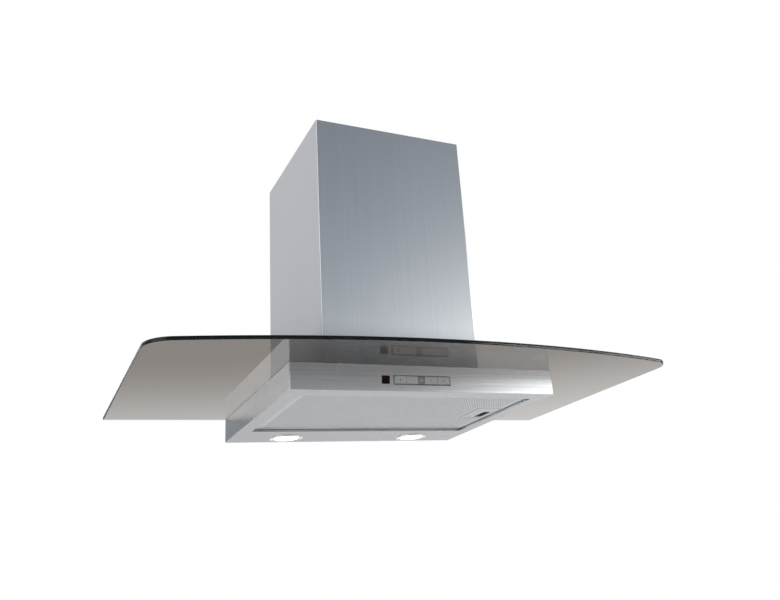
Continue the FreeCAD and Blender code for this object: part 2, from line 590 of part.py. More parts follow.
def grease_filter():
    """Frame with its pivots, perforated face, media and back grid."""
    border = FILTER_BORDER
    frame = block(-FILTER_HALF, FILTER_HALF, FILTER_FRONT, FILTER_REAR, FILTER_UNDER, FILTER_TOP)
    room = block(-FILTER_HALF + border, FILTER_HALF - border, FILTER_FRONT + border, FILTER_REAR - border,
                 FILTER_UNDER - 1, FILTER_TOP + 1)
    length = border / 2 + FILTER_GAP + SHEET + SEAT_GAP + EAR_THICKNESS + 1
    pivots = [rod((PIVOT_X, FILTER_FRONT + border / 2, PIVOT_Z), (0, -1, 0), PIVOT_RADIUS, length),
              rod((PIVOT_X, FILTER_REAR - border / 2, PIVOT_Z), (0, 1, 0), PIVOT_RADIUS, length)]
    save("filter_frame", frame.cut([room, bolt_slot(SEAT_GAP)] + pivots))
    save("filter_pivots", *pivots)
    inside = dict(x0=-FILTER_HALF + border, x1=FILTER_HALF - border,
                  y0=FILTER_FRONT + border, y1=FILTER_REAR - border)
    handle_room = block(HANDLE_LEFT, HANDLE_RIGHT + 1, HANDLE_FRONT, HANDLE_REAR,
                        FILTER_UNDER - 1, FILTER_TOP - GRID_THICKNESS)
    face = block(z0=FILTER_UNDER, z1=FILTER_UNDER + FACE_SHEET, **inside)
    save("filter_face", face.cut(handle_room))
    pitch = (FILTER_TOP - GRID_THICKNESS - FILTER_UNDER - FACE_SHEET) / (MEDIA_LAYERS + 1)
    layers = []
    for index in range(MEDIA_LAYERS):
        middle = FILTER_UNDER + FACE_SHEET + pitch * (index + 1)
        layer = block(z0=middle - MEDIA_THICKNESS / 2, z1=middle + MEDIA_THICKNESS / 2, **inside)
        layers.append(layer.cut(handle_room))
    save("filter_media", *layers)
    save("filter_grid", block(z0=FILTER_TOP - GRID_THICKNESS, z1=FILTER_TOP, **inside))


def filter_ears():
    """The two ears on the rim that the filter's pivots turn in."""
    ears = []
    for y, side in ((OPEN_FRONT - SHEET, -1), (OPEN_REAR + SHEET, 1)):
        near = y + side * SEAT_GAP
        far = near + side * EAR_THICKNESS
        low, high = span(near, far)
        plate = block(PIVOT_X - EAR_HALF, PIVOT_X + EAR_HALF, low, high, RIM_TOP, PIVOT_Z + EAR_HALF - 1)
        foot = block(PIVOT_X - EAR_HALF, PIVOT_X + EAR_HALF, *span(far, far + side * EAR_HALF),
                     RIM_TOP, RIM_TOP + SHEET)
        bore = rod((PIVOT_X, low - 1, PIVOT_Z), (0, 1, 0), PIVOT_RADIUS + RUNNING_FIT, EAR_THICKNESS + 2)
        ears.append(join(plate, foot).cut(bore))
    save("filter_ears", *ears)


def filter_handle():
    """The handle cup let into the filter, with the slot for the finger pull."""
    cup = block(HANDLE_LEFT, HANDLE_RIGHT, HANDLE_FRONT, HANDLE_REAR, FILTER_UNDER,
                FILTER_TOP - GRID_THICKNESS)
    hollow = block(HANDLE_LEFT + HANDLE_WALL, HANDLE_RIGHT - HANDLE_WALL, HANDLE_FRONT + HANDLE_WALL,
                   HANDLE_REAR - HANDLE_WALL, FILTER_UNDER + HANDLE_WALL, FILTER_TOP)
    pull = folded(PULL_LEFT, PULL_RIGHT, PULL_FRONT, PULL_REAR, FILTER_UNDER - 1,
                  FILTER_UNDER + HANDLE_WALL + 1, PULL_WIDTH / 3)
    save("handle_plate", cup.cut([hollow, pull, bolt_slot(SEAT_GAP)]))
    save("latch_slider", join(*latch_solids()))
    spring_left = HANDLE_LEFT + HANDLE_WALL
    spring_right = PULL_LEFT - PULL_TO_EDGE
    leaf = SPRING_LEAF
    points = [V(spring_left, PULL_MIDDLE - SPRING_HALF, 0), V(spring_right, PULL_MIDDLE, 0),
              V(spring_left, PULL_MIDDLE + SPRING_HALF, 0)]
    outer = Part.Arc(*points).toShape()
    inner = Part.Arc(V(points[0].x, points[0].y + leaf, 0), V(spring_right - leaf, PULL_MIDDLE, 0),
                     V(points[2].x, points[2].y - leaf, 0)).toShape()
    ends = [Part.LineSegment(outer.Vertexes[-1].Point, inner.Vertexes[-1].Point).toShape(),
            Part.LineSegment(inner.Vertexes[0].Point, outer.Vertexes[0].Point).toShape()]
    outline = Part.Wire(Part.__sortEdges__([outer, inner] + ends))
    spring = Part.Face(outline).extrude(V(0, 0, LATCH_THICKNESS))
    spring.translate(V(0, 0, LATCH_UNDER))
    save("latch_spring", spring)


# ---- Blower --------------------------------------------------------------------------
def blower_box():
    """The galvanised casing on the glass, open below and at the scroll's neck.

    A strip is folded over the front, the top and the rear, with a foot in front; each side
    is a panel with its own foot, set in between the walls of the strip.
    """
    strip = block(-BOX_HALF, BOX_HALF, BOX_FRONT, BOX_REAR, GLASS_TOP, BOX_TOP)
    inner = block(-BOX_HALF - 1, BOX_HALF + 1, BOX_FRONT + SHEET, BOX_REAR - SHEET,
                  GLASS_TOP - 1, BOX_CEILING)
    foot = block(-BOX_HALF, BOX_HALF, BOX_FRONT - BLOWER_FLANGE, BOX_FRONT,
                 GLASS_TOP, GLASS_TOP + SHEET)
    neck = block(-SCROLL_HALF + SCROLL_WALL, SCROLL_HALF - SCROLL_WALL, NECK_FRONT, NECK_REAR,
                 BOX_CEILING - 1, BOX_TOP + 1)
    cable = rod((GLAND_X, REAR_PARTS_Y, BOX_CEILING - 1), (0, 0, 1), GLAND_BORE_RADIUS, SHEET + 2)
    save("blower_box", join(strip, foot).cut([inner, neck, cable]))
    front = BOX_FRONT + SHEET
    rear = BOX_REAR - SHEET
    shanks = [rod((x, y, GLASS_TOP - 1), (0, 0, 1), BUSH_BORE, SHEET + 2) for x, y in bolt_places()]
    sides = []
    for side in (-1, 1):
        face = side * BOX_HALF
        panel = block(*span(face, face - side * SHEET), front, rear, GLASS_TOP, BOX_CEILING)
        side_foot = block(*span(face, face + side * BLOWER_FLANGE), front, rear,
                          GLASS_TOP, GLASS_TOP + SHEET)
        sides.append(join(panel, side_foot).cut(shanks))
    save("blower_sides", *sides)


def wall_plate():
    """The plate behind the blower box that the hood hangs on."""
    plate = block(-WALL_PLATE_HALF, WALL_PLATE_HALF, -PLATE_THICKNESS, 0, GLASS_TOP, BOX_TOP)
    holes = [rod((x * WALL_HOLE_SPACING_X / 2, -PLATE_THICKNESS - 1, z * WALL_HOLE_SPACING_Z / 2),
                 (0, 1, 0), WALL_HOLE_RADIUS, PLATE_THICKNESS + 2) for x in (-1, 1) for z in (-1, 1)]
    save("wall_plate", plate.cut(holes))


def volute_face(extra):
    """The scroll's outline in the YZ plane: three growing quarter turns and the neck."""
    radii = [SCROLL_START_RADIUS + step * SCROLL_STEP + extra for step in range(3)]
    diagonal = math.sqrt(0.5)
    centre_y, centre_z = FAN_Y, FAN_RISE
    top = BOX_CEILING
    start = V(0, centre_y, centre_z + radii[0])
    edges = []
    directions = ((1, 1, 1, 0), (1, -1, 0, -1), (-1, -1, -1, 0))
    point = start
    for index, (mid_y, mid_z, end_y, end_z) in enumerate(directions):
        radius = radii[index]
        middle = V(0, centre_y + mid_y * diagonal * radius, centre_z + mid_z * diagonal * radius)
        end = V(0, centre_y + end_y * radius, centre_z + end_z * radius)
        edges.append(Part.Arc(point, middle, end).toShape())
        point = end
        if index == 0:
            centre_y -= SCROLL_STEP
        elif index == 1:
            centre_z += SCROLL_STEP
    corner = V(0, point.y, top)
    tongue = V(0, start.y, top)
    edges.append(Part.LineSegment(point, corner).toShape())
    edges.append(Part.LineSegment(corner, tongue).toShape())
    edges.append(Part.LineSegment(tongue, start).toShape())
    return Part.Face(Part.Wire(edges))


def scroll_halves():
    """The volute, split at the fan's middle into two shells."""
    outer = volute_face(SCROLL_WALL)
    inner = volute_face(0)
    for side, name in ((-1, "scroll_left"), (1, "scroll_right")):
        shell = outer.extrude(V(side * SCROLL_HALF, 0, 0))
        hollow = inner.extrude(V(side * (SCROLL_HALF - SCROLL_WALL), 0, 0))
        lid = block(*span(0, side * SCROLL_HALF), NECK_REAR, NECK_REAR + SCROLL_WALL,
                    FAN_RISE + SCROLL_START_RADIUS, BOX_CEILING)
        inlet = rod((side * (SCROLL_HALF + 1), FAN_Y, FAN_RISE), (-side, 0, 0), SCROLL_INLET_RADIUS,
                    SCROLL_WALL + 2)
        save(name, join(shell, lid).cut([hollow, inlet]))


def impeller():
    """A double-inlet wheel: centre disc, end rings, forward-curved blades and hub."""
    half = IMPELLER_WIDTH / 2
    root = IMPELLER_RADIUS - BLADE_DEPTH
    axis = (1, 0, 0)
    disc = rod((-WHEEL_PLATE / 2, FAN_Y, FAN_RISE), axis, IMPELLER_RADIUS, WHEEL_PLATE)
    hub = rod((-HUB_RADIUS, FAN_Y, FAN_RISE), axis, HUB_RADIUS, 2 * HUB_RADIUS)
    rings = [pipe((x, FAN_Y, FAN_RISE), axis, IMPELLER_RADIUS, root, WHEEL_PLATE)
             for x in (-half, half - WHEEL_PLATE)]
    blades = []
    for index in range(BLADE_COUNT):
        blade = block(-half, half, root + BLADE_INSET, IMPELLER_RADIUS - BLADE_INSET,
                      -BLADE_THICKNESS / 2, BLADE_THICKNESS / 2)
        blade.rotate(V(0, (root + IMPELLER_RADIUS) / 2, 0), V(1, 0, 0), BLADE_LEAN)
        blade.rotate(V(0, 0, 0), V(1, 0, 0), index * 360.0 / BLADE_COUNT)
        blade.translate(V(0, FAN_Y, FAN_RISE))
        blades.append(blade)
    wheel = join(disc, hub, *rings, *blades)
    bore = rod((-half, FAN_Y, FAN_RISE), axis, SHAFT_RADIUS, IMPELLER_WIDTH)
    save("impeller", wheel.cut(bore))
    save("motor_shaft", rod((-HUB_RADIUS - SHAFT_END, FAN_Y, FAN_RISE), axis, SHAFT_RADIUS,
                            HUB_RADIUS + SCROLL_HALF + SPIDER_THICKNESS + 2 * SHAFT_END))


def motor_screw_places():
    """Where the three bracket screws stand on the bracket's outer face."""
    ring = SCROLL_INLET_RADIUS + RING_WIDTH / 2
    face = SCROLL_HALF + SPIDER_THICKNESS
    angles = [math.radians(index * 360.0 / SPIDER_ARMS + 90.0) for index in range(SPIDER_ARMS)]
    return [(face, FAN_Y + ring * math.cos(angle), FAN_RISE + ring * math.sin(angle)) for angle in angles]


def motor():
    """The motor inside the wheel's right half, and the three-armed bracket that holds it."""
    end = SCROLL_HALF
    start = end - MOTOR_LENGTH
    axis = (1, 0, 0)
    can = rod((start, FAN_Y, FAN_RISE), axis, MOTOR_RADIUS, MOTOR_LENGTH)
    edges = [edge for edge in can.Edges if abs(edge.Length - 2 * math.pi * MOTOR_RADIUS) < 1]
    can = can.makeFillet(MOTOR_ROUNDING, edges[:1])
    bore = rod((start - 1, FAN_Y, FAN_RISE), axis, SHAFT_RADIUS + RUNNING_FIT, MOTOR_LENGTH + 2)
    save("motor", can.cut(bore))
    ring_radius = SCROLL_INLET_RADIUS + RING_WIDTH
    spider = pipe((end, FAN_Y, FAN_RISE), axis, ring_radius, SCROLL_INLET_RADIUS, SPIDER_THICKNESS)
    spider = join(spider, rod((end, FAN_Y, FAN_RISE), axis, SPIDER_HUB_RADIUS, SPIDER_THICKNESS))
    arms = []
    for index in range(SPIDER_ARMS):
        arm = block(end, end + SPIDER_THICKNESS, SPIDER_HUB_RADIUS / 2,
                    SCROLL_INLET_RADIUS + RING_WIDTH / 2, -SPIDER_ARM / 2, SPIDER_ARM / 2)
        arm.rotate(V(0, 0, 0), V(1, 0, 0), index * 360.0 / SPIDER_ARMS + 90.0)
        arm.translate(V(0, FAN_Y, FAN_RISE))
        arms.append(arm)
    hole = rod((end - 1, FAN_Y, FAN_RISE), axis, SHAFT_RADIUS + SEAT_GAP, SPIDER_THICKNESS + 2)
    places = motor_screw_places()
    shanks = [rod(place, (-1, 0, 0), SCREW_RADIUS, SPIDER_THICKNESS) for place in places]
    save("motor_bracket", join(spider, *arms).cut([hole] + shanks))
    save("motor_screws", *[screw(place, (-1, 0, 0), SPIDER_THICKNESS) for place in places])


def inlet_guard():
    """Concentric rings and spokes over the left inlet."""
    axis = (-1, 0, 0)
    start = (-SCROLL_HALF, FAN_Y, FAN_RISE)
    bar = GUARD_BAR
    rings = [pipe(start, axis, radius, radius - bar, bar)
             for radius in (SCROLL_INLET_RADIUS * 2 / 3, SCROLL_INLET_RADIUS / 3)]
    rim = pipe(start, axis, SCROLL_INLET_RADIUS + RING_WIDTH, SCROLL_INLET_RADIUS, bar)
    spokes = []
    reach = SCROLL_INLET_RADIUS + bar
    for index in range(GUARD_SPOKES):
        spoke = block(-SCROLL_HALF - bar, -SCROLL_HALF, -reach, reach, -bar / 2, bar / 2)
        spoke.rotate(V(0, 0, 0), V(1, 0, 0), (index + 0.5) * 180.0 / GUARD_SPOKES)
        spoke.translate(V(0, FAN_Y, FAN_RISE))
        spokes.append(spoke)
    save("inlet_guard", join(rim, *rings, *spokes))


# ---- Outlet --------------------------------------------------------------------------
def outlet_spigot():
    """Square flange and round collar, with the ledge that the flaps close on."""
    half = OUTLET_RADIUS + OUTLET_MARGIN
    flange = block(-half, half, OUTLET_Y - half, OUTLET_Y + half, BOX_TOP, FLANGE_TOP)
    up = (0, 0, 1)
    collar = rod((0, OUTLET_Y, BOX_TOP), up, OUTLET_RADIUS, OUTLET_TOP - BOX_TOP)
    bore = rod((0, OUTLET_Y, BOX_TOP - 1), up, OUTLET_RADIUS - OUTLET_WALL, OUTLET_HEIGHT + OUTLET_WALL + 2)
    ledge_top = FLAP_Z - FLAP_THICKNESS / 2 - SEAT_GAP
    ledge = pipe((0, OUTLET_Y, ledge_top - OUTLET_WALL), up, OUTLET_RADIUS - OUTLET_WALL / 2,
                 OUTLET_RADIUS - OUTLET_WALL - LEDGE_WIDTH, OUTLET_WALL)
    pin_hole = rod((-OUTLET_RADIUS - 1, OUTLET_Y, FLAP_Z), (1, 0, 0), FLAP_PIN_RADIUS,
                   2 * OUTLET_RADIUS + 2)
    pin_room = block(-OUTLET_RADIUS, OUTLET_RADIUS, OUTLET_Y - FLAP_KNUCKLE_RADIUS - 1,
                     OUTLET_Y + FLAP_KNUCKLE_RADIUS + 1, ledge_top - OUTLET_WALL - 1, ledge_top + 1)
    ledge = ledge.cut(pin_room)
    inset = half - OUTLET_MARGIN * 3 / 4
    places = [(x * inset, OUTLET_Y + y * inset, FLANGE_TOP) for x in (-1, 1) for y in (-1, 1)]
    shanks = [rod(place, (0, 0, -1), SCREW_RADIUS, OUTLET_WALL) for place in places]
    save("outlet_spigot", join(join(flange, collar).cut(bore), *ledge.Solids).cut([pin_hole] + shanks))
    save("spigot_screws", *[screw(place, (0, 0, -1), OUTLET_WALL) for place in places])
    save("flap_pin", rod((-OUTLET_RADIUS, OUTLET_Y, FLAP_Z), (1, 0, 0), FLAP_PIN_RADIUS, 2 * OUTLET_RADIUS))


def flap(name, side, inner):
    """A half disc on two knuckles that turn on the shared pin."""
    reach = FLAP_KNUCKLE_RADIUS + 2 * SEAT_GAP
    low = FLAP_Z - FLAP_THICKNESS / 2
    disc = rod((0, OUTLET_Y, low), (0, 0, 1), FLAP_RADIUS, FLAP_THICKNESS)
    near = OUTLET_Y + side * reach
    far = OUTLET_Y + side * (FLAP_RADIUS + 1)
    room = block(-FLAP_RADIUS, FLAP_RADIUS, *span(near, far), low - 1, low + FLAP_THICKNESS + 1)
    half = disc.common(room)
    pieces = []
    for start in (-inner - KNUCKLE_LENGTH, inner):
        end = start + KNUCKLE_LENGTH
        pieces.append(rod((start, OUTLET_Y, FLAP_Z), (1, 0, 0), FLAP_KNUCKLE_RADIUS, KNUCKLE_LENGTH))
        pieces.append(block(start, end, *span(OUTLET_Y, near + side), low, low + FLAP_THICKNESS))
    bore = rod((-FLAP_RADIUS, OUTLET_Y, FLAP_Z), (1, 0, 0), FLAP_PIN_RADIUS + RUNNING_FIT, 2 * FLAP_RADIUS)
    save(name, join(half, *pieces).cut(bore))


def flaps():
    """Front and rear flap, with their knuckles in turn along the pin."""
    flap("flap_front", -1, KNUCKLE_INNER)
    flap("flap_rear", 1, KNUCKLE_INNER + KNUCKLE_STEP)


# ---- Electrical parts on the blower box ----------------------------------------------
def terminal_parts():
    """The open terminal box on the blower box's front, and its screwed cover."""
    rear = BOX_FRONT
    front = rear - TERMINAL_DEPTH
    half = TERMINAL_WIDTH / 2
    low = TERMINAL_RISE
    high = TERMINAL_RISE + TERMINAL_HEIGHT
    box = block(-half, half, front, rear, low, high)
    wall = TERMINAL_WALL
    room = block(-half + wall, half - wall, front - 1, rear - wall, low + wall, high - wall)
    save("terminal_box", box.cut(room))
    save("terminal_cover", block(-half, half, front - TERMINAL_COVER, front, low, high))


def capacitor_parts():
    """The motor's run capacitor, lying on the blower box under a strap."""
    z = BOX_TOP + CAPACITOR_RADIUS
    start = (CAPACITOR_X - CAPACITOR_LENGTH / 2, REAR_PARTS_Y, z)
    can = rod(start, (1, 0, 0), CAPACITOR_RADIUS, CAPACITOR_LENGTH)
    save("capacitor", can)
    left = CAPACITOR_X - STRAP_WIDTH / 2
    right = CAPACITOR_X + STRAP_WIDTH / 2
    outer = CAPACITOR_RADIUS + SHEET
    hoop = rod((left, REAR_PARTS_Y, z), (1, 0, 0), outer, STRAP_WIDTH)
    legs = block(left, right, REAR_PARTS_Y - outer, REAR_PARTS_Y + outer, BOX_TOP, z)
    feet = block(left, right, REAR_PARTS_Y - outer - STRAP_FOOT, REAR_PARTS_Y + outer + STRAP_FOOT,
                 BOX_TOP, BOX_TOP + SHEET)
    below = block(left - 1, right + 1, REAR_PARTS_Y - CAPACITOR_RADIUS, REAR_PARTS_Y + CAPACITOR_RADIUS,
                  BOX_TOP - outer, z)
    room = rod(start, (1, 0, 0), CAPACITOR_RADIUS, CAPACITOR_LENGTH)
    save("capacitor_strap", join(hoop, legs, feet).cut([below, room]))


def cable_gland():
    """Where the supply cord enters the blower box; the cord itself is not part of this."""
    up = (0, 0, 1)
    flange = rod((GLAND_X, REAR_PARTS_Y, BOX_TOP), up, GLAND_RADIUS, GLAND_FLANGE)
    nut = rod((GLAND_X, REAR_PARTS_Y, BOX_TOP + GLAND_FLANGE), up, GLAND_NUT_RADIUS, GLAND_NUT)
    bore = rod((GLAND_X, REAR_PARTS_Y, BOX_TOP - 1), up, GLAND_BORE_RADIUS, GLAND_FLANGE + GLAND_NUT + 2)
    save("cable_gland", join(flange, nut).cut(bore))


# ---- Chimney -------------------------------------------------------------------------
def cover(half, front, rear, low, high):
    """A three-sided folded cover with narrow flanges along the wall."""
    outer = folded(-half, half, front, rear, low, high, FOLD_RADIUS, front_only=True)
    inner = folded(-half + SHEET, half - SHEET, front + SHEET, rear - SHEET, low - 1, high + 1,
                   FOLD_RADIUS - SHEET, front_only=True)
    mouth = block(-half + COVER_LIP, half - COVER_LIP, rear - SHEET - 1, rear + 1, low - 1, high + 1)
    return outer.cut([inner, mouth])


def chimney_covers():
    """The lower cover stands on the glass; the upper one slides inside it."""
    save("chimney_lower", cover(COVER_HALF, -CHIMNEY_DEPTH, 0, GLASS_TOP, LOWER_COVER_TOP))
    save("chimney_upper", cover(UPPER_HALF, UPPER_FRONT, UPPER_REAR, UPPER_COVER_FOOT, UPPER_COVER_TOP))


def chimney_clips():
    """Two Z-shaped clips from the blower box to the lower cover's sides."""
    clips = []
    levels = (CLIP_FOOT, CLIP_TOP)
    y = BOX_FRONT + CLIP_FROM_FRONT
    for side in (-1, 1):
        near = side * BOX_HALF
        far = side * (COVER_HALF - SHEET)
        web = block(*span(near, far), y, y + CLIP_THICKNESS, *levels)
        outer_ear = block(*span(far, far - side * CLIP_THICKNESS), y, y + CLIP_DEPTH, *levels)
        inner_ear = block(*span(near, near + side * CLIP_THICKNESS), y, y + CLIP_DEPTH, *levels)
        clips.append(join(web, outer_ear, inner_ear))
    save("chimney_clips", *clips)


def chimney_bracket():
    """The wall bracket at the head of the upper cover, stepped round the cover's lips."""
    inside = UPPER_HALF - SHEET
    inner = BRACKET_HALF - BRACKET_WEB
    back = UPPER_REAR - SHEET - SEAT_GAP
    front = back - PLATE_THICKNESS
    levels = (BRACKET_LOW, BRACKET_HIGH)
    pieces = [block(-BRACKET_HALF, BRACKET_HALF, -PLATE_THICKNESS, 0, *levels)]
    for side in (-1, 1):
        pieces.append(block(*span(side * inner, side * inside), front, back, *levels))
        pieces.append(block(*span(side * inner, side * BRACKET_HALF), front, 0, *levels))
        pieces.append(block(*span(side * inside, side * (inside - PLATE_THICKNESS)), front - BRACKET_EAR,
                            back, *levels))
    middle = (BRACKET_LOW + BRACKET_HIGH) / 2
    holes = [rod((side * CHIMNEY_HOLE_SPACING / 2, -PLATE_THICKNESS - 1, middle), (0, 1, 0),
                 CHIMNEY_HOLE_RADIUS, PLATE_THICKNESS + 2) for side in (-1, 1)]
    save("chimney_bracket", join(*pieces).cut(holes))


# ---- Build every node ----------------------------------------------------------------
glass_canopy()
glass_fixings()
body_wrapper()
rim_panel()
deck_plate()
keys()
key_surround()
control_electronics()
lamps()
grease_filter()
filter_ears()
filter_handle()
blower_box()
wall_plate()
scroll_halves()
impeller()
motor()
inlet_guard()
outlet_spigot()
flaps()
terminal_parts()
capacitor_parts()
cable_gland()
chimney_covers()
chimney_clips()
chimney_bracket()
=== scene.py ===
import json
import math

import bpy
import numpy as np
from bpy.props import FloatProperty, FloatVectorProperty, IntProperty, PointerProperty
from mathutils import Matrix, Vector
from mathutils.geometry import delaunay_2d_cdt


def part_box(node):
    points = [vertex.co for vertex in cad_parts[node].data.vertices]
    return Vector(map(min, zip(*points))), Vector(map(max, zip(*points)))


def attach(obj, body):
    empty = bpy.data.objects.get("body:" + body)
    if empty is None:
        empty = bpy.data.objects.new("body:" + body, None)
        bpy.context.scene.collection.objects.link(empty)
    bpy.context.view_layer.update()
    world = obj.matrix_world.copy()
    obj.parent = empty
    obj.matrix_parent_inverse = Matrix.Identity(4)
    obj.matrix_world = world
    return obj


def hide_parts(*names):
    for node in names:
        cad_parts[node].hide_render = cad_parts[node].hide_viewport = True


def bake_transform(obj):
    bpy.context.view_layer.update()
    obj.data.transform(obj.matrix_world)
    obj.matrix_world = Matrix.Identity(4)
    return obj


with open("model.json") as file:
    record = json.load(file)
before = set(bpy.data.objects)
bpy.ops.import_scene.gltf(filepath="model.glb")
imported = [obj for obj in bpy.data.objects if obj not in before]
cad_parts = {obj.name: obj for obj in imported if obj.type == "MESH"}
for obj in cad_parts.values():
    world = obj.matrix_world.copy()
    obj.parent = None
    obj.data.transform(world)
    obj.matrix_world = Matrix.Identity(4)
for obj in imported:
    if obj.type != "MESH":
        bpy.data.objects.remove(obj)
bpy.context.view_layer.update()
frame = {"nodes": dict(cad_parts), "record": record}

bl_info = {
    "name": "Glass canopy range hood",
    "version": (1, 0, 0),
    "blender": (4, 5, 0),
    "location": "3D View > Sidebar > Hood",
    "description": "Glass, filter, lamps, key signs, finishes and studio of a wall range hood",
    "category": "Object",
}

MM = 0.001

# The opening in the glass and the bolt holes, as the casing above needs them
OPENING_HALF = 101 * MM
OPENING_FRONT = -279 * MM
OPENING_REAR = -19 * MM
OPENING_CORNER = 16 * MM
BUSH_RADIUS = 4.5 * MM
FACE_CLEARANCE = 0.06 * MM      # glass stands off its seat, and print sinks into its key

# Steps along the outline of the glass
CORNER_STEPS = 14
FRONT_STEPS = 120

# In flat outlines, points nearer than this count as one, and triangles are dropped whose
# doubled area is smaller
SAME_POINT = 1e-9
NO_AREA = 1e-14

# The lamps. The ring's mouth is given outward and upward from the lower end of its bore.
LAMP_SEGMENTS = 72
LENS_GAP = 0.1 * MM
RING_WALL = 4 * MM
RING_MOUTH = ((2.2 * MM, 0.0), (0.5 * MM, 0.6 * MM), (0.0, 1.2 * MM))
LENS_CROWN = 0.5 * MM
CIRCLES_PER_RIB = 6

# The keys, and the share of a key's height that its sign may take up
KEY_NODES = ("key_light", "key_minus", "key_fan", "key_plus", "key_timer")
SIGN_SHARE = 0.6

# Sheets and mouldings whose edges are broken
BROKEN_EDGE_NODES = KEY_NODES + (
    "body_wrapper", "rim_panel", "chimney_lower", "chimney_upper", "deck_plate",
    "key_bezel", "display_window", "handle_plate", "filter_frame", "blower_box",
    "blower_sides", "terminal_cover", "terminal_box", "wall_plate", "chimney_bracket",
    "latch_slider",
)
JOIN_DISTANCE = 0.01 * MM
BROKEN_ANGLE = math.radians(40)

# The studio: where the floor turns to white, in metres from its middle, and the lamp
FLOOR_FADE = (2.0, 3.5)
FLOOR_FAR = (0.97, 0.97, 0.97)
LAMP_PLACE = (1.9, -2.6, 2.4)
LAMP_WIDTH = 2.2
LAMP_POWER = 45.0
SENSOR_WIDTH = 36.0


# ---- Settings ------------------------------------------------------------------------
class HoodGlassSettings(bpy.types.PropertyGroup):
    """Sizes and colour of the glass canopy."""
    front_radius: FloatProperty(
        name="Front radius", description="Radius of the bowed front edge",
        default=1.74, unit="LENGTH")
    corner_radius: FloatProperty(
        name="Corner radius", description="Radius of the two front corners",
        default=0.045, unit="LENGTH")
    edge_rounding: FloatProperty(
        name="Edge rounding", description="Radius of the polished arris",
        default=0.0011, unit="LENGTH")
    colour: FloatVectorProperty(
        name="Glass colour", description="Colour the glass gives to light that passes through",
        default=(0.98, 0.97, 0.96), subtype="COLOR", size=3, min=0.0, max=1.0)
    absorption: FloatProperty(
        name="Absorption", description="How fast the glass darkens light along its path",
        default=180.0, min=0.0)


class HoodFilterSettings(bpy.types.PropertyGroup):
    """Sizes of the perforations in the grease filter."""
    hole_pitch: FloatProperty(
        name="Hole pitch", description="Distance between neighbouring holes of the face",
        default=0.0049, unit="LENGTH")
    hole_radius: FloatProperty(
        name="Hole radius", description="Radius of a hole of the face",
        default=0.0013, unit="LENGTH")
    back_pitch: FloatProperty(
        name="Back pitch", description="Distance between neighbouring holes of the back sheet",
        default=0.012, unit="LENGTH")
    back_radius: FloatProperty(
        name="Back hole radius", description="Radius of a hole of the back sheet",
        default=0.0042, unit="LENGTH")
    plain_border: FloatProperty(
        name="Plain border", description="Width of the sheet left without holes round its edge",
        default=0.0035, unit="LENGTH")
    handle_gap: FloatProperty(
        name="Handle gap", description="Gap between the face and the handle",
        default=0.0021, unit="LENGTH")
    spring_leaf: FloatProperty(
        name="Spring leaf", description="Thickness of the latch's leaf spring",
        default=0.0006, unit="LENGTH")


class HoodLampSettings(bpy.types.PropertyGroup):
    """Sizes and light of the two spotlights."""
    rib_height: FloatProperty(
        name="Rib height", description="Height of the ribs on the lens",
        default=0.00018, unit="LENGTH")
    rib_rings: IntProperty(
        name="Rib rings", description="Number of round ribs on the lens", default=9, min=1)
    ring_rounding: FloatProperty(
        name="Ring rounding", description="Radius of the ring's edges",
        default=0.0006, unit="LENGTH")
    glow: FloatProperty(
        name="Glow", description="Strength of the light that the lens shows", default=2.6, min=0.0)


class HoodKeySettings(bpy.types.PropertyGroup):
    """Sizes of the signs on the keys."""
    sign_size: FloatProperty(
        name="Sign size", description="Width of a sign on a key", default=0.0044, unit="LENGTH")
    stroke: FloatProperty(
        name="Stroke", description="Width of a sign's lines", default=0.0007, unit="LENGTH")
    print_height: FloatProperty(
        name="Print height", description="Height of the printed signs",
        default=0.00006, unit="LENGTH")


class HoodSteelSettings(bpy.types.PropertyGroup):
    """Colour and brushing of the stainless steel."""
    colour: FloatVectorProperty(
        name="Steel colour", description="Colour of the brushed steel",
        default=(0.60, 0.61, 0.63), subtype="COLOR", size=3, min=0.0, max=1.0)
    roughness: FloatProperty(
        name="Roughness", description="How soft the reflections are",
        default=0.27, min=0.0, max=1.0, subtype="FACTOR")
    arris: FloatProperty(
        name="Arris", description="Width of the broken edges of sheets and mouldings",
        default=0.00035, unit="LENGTH")


class HoodStageSettings(bpy.types.PropertyGroup):
    """Floor, light and camera."""
    floor_level: FloatProperty(
        name="Floor level", description="Height of the floor below the origin",
        default=-1.60, unit="LENGTH")
    floor_size: FloatProperty(
        name="Floor size", description="Width of the floor", default=7.0, unit="LENGTH")
    floor_colour: FloatVectorProperty(
        name="Floor colour", description="Colour of the floor",
        default=(0.70, 0.70, 0.70), subtype="COLOR", size=3, min=0.0, max=1.0)
    soft_light: FloatProperty(
        name="Soft light", description="Brightness of the room on matt surfaces",
        default=0.95, min=0.0)
    camera_place: FloatVectorProperty(
        name="Camera place", description="Where the camera stands",
        default=(-0.591754, -1.633227, -0.452922), subtype="TRANSLATION", size=3, unit="LENGTH")
    camera_turn: FloatVectorProperty(
        name="Camera turn", description="Yaw, pitch and roll of the camera",
        default=(0.541, 0.366, 0.107), subtype="EULER", size=3)
    camera_lens: FloatProperty(
        name="Lens", description="Focal length", default=38.675, unit="CAMERA")
    camera_shift: FloatVectorProperty(
        name="Shift", description="Sideways and upward shift of the picture",
        default=(-0.1282, -0.0487), size=2)


SETTINGS = {
    "hood_glass": HoodGlassSettings,
    "hood_filter": HoodFilterSettings,
    "hood_lamps": HoodLampSettings,
    "hood_keys": HoodKeySettings,
    "hood_steel": HoodSteelSettings,
    "hood_stage": HoodStageSettings,
}


# ---- Meshes from arrays --------------------------------------------------------------
def add_object(name, data):
    """An object with its data, linked to the scene."""
    made = bpy.data.objects.new(name, data)
    bpy.context.scene.collection.objects.link(made)
    return made


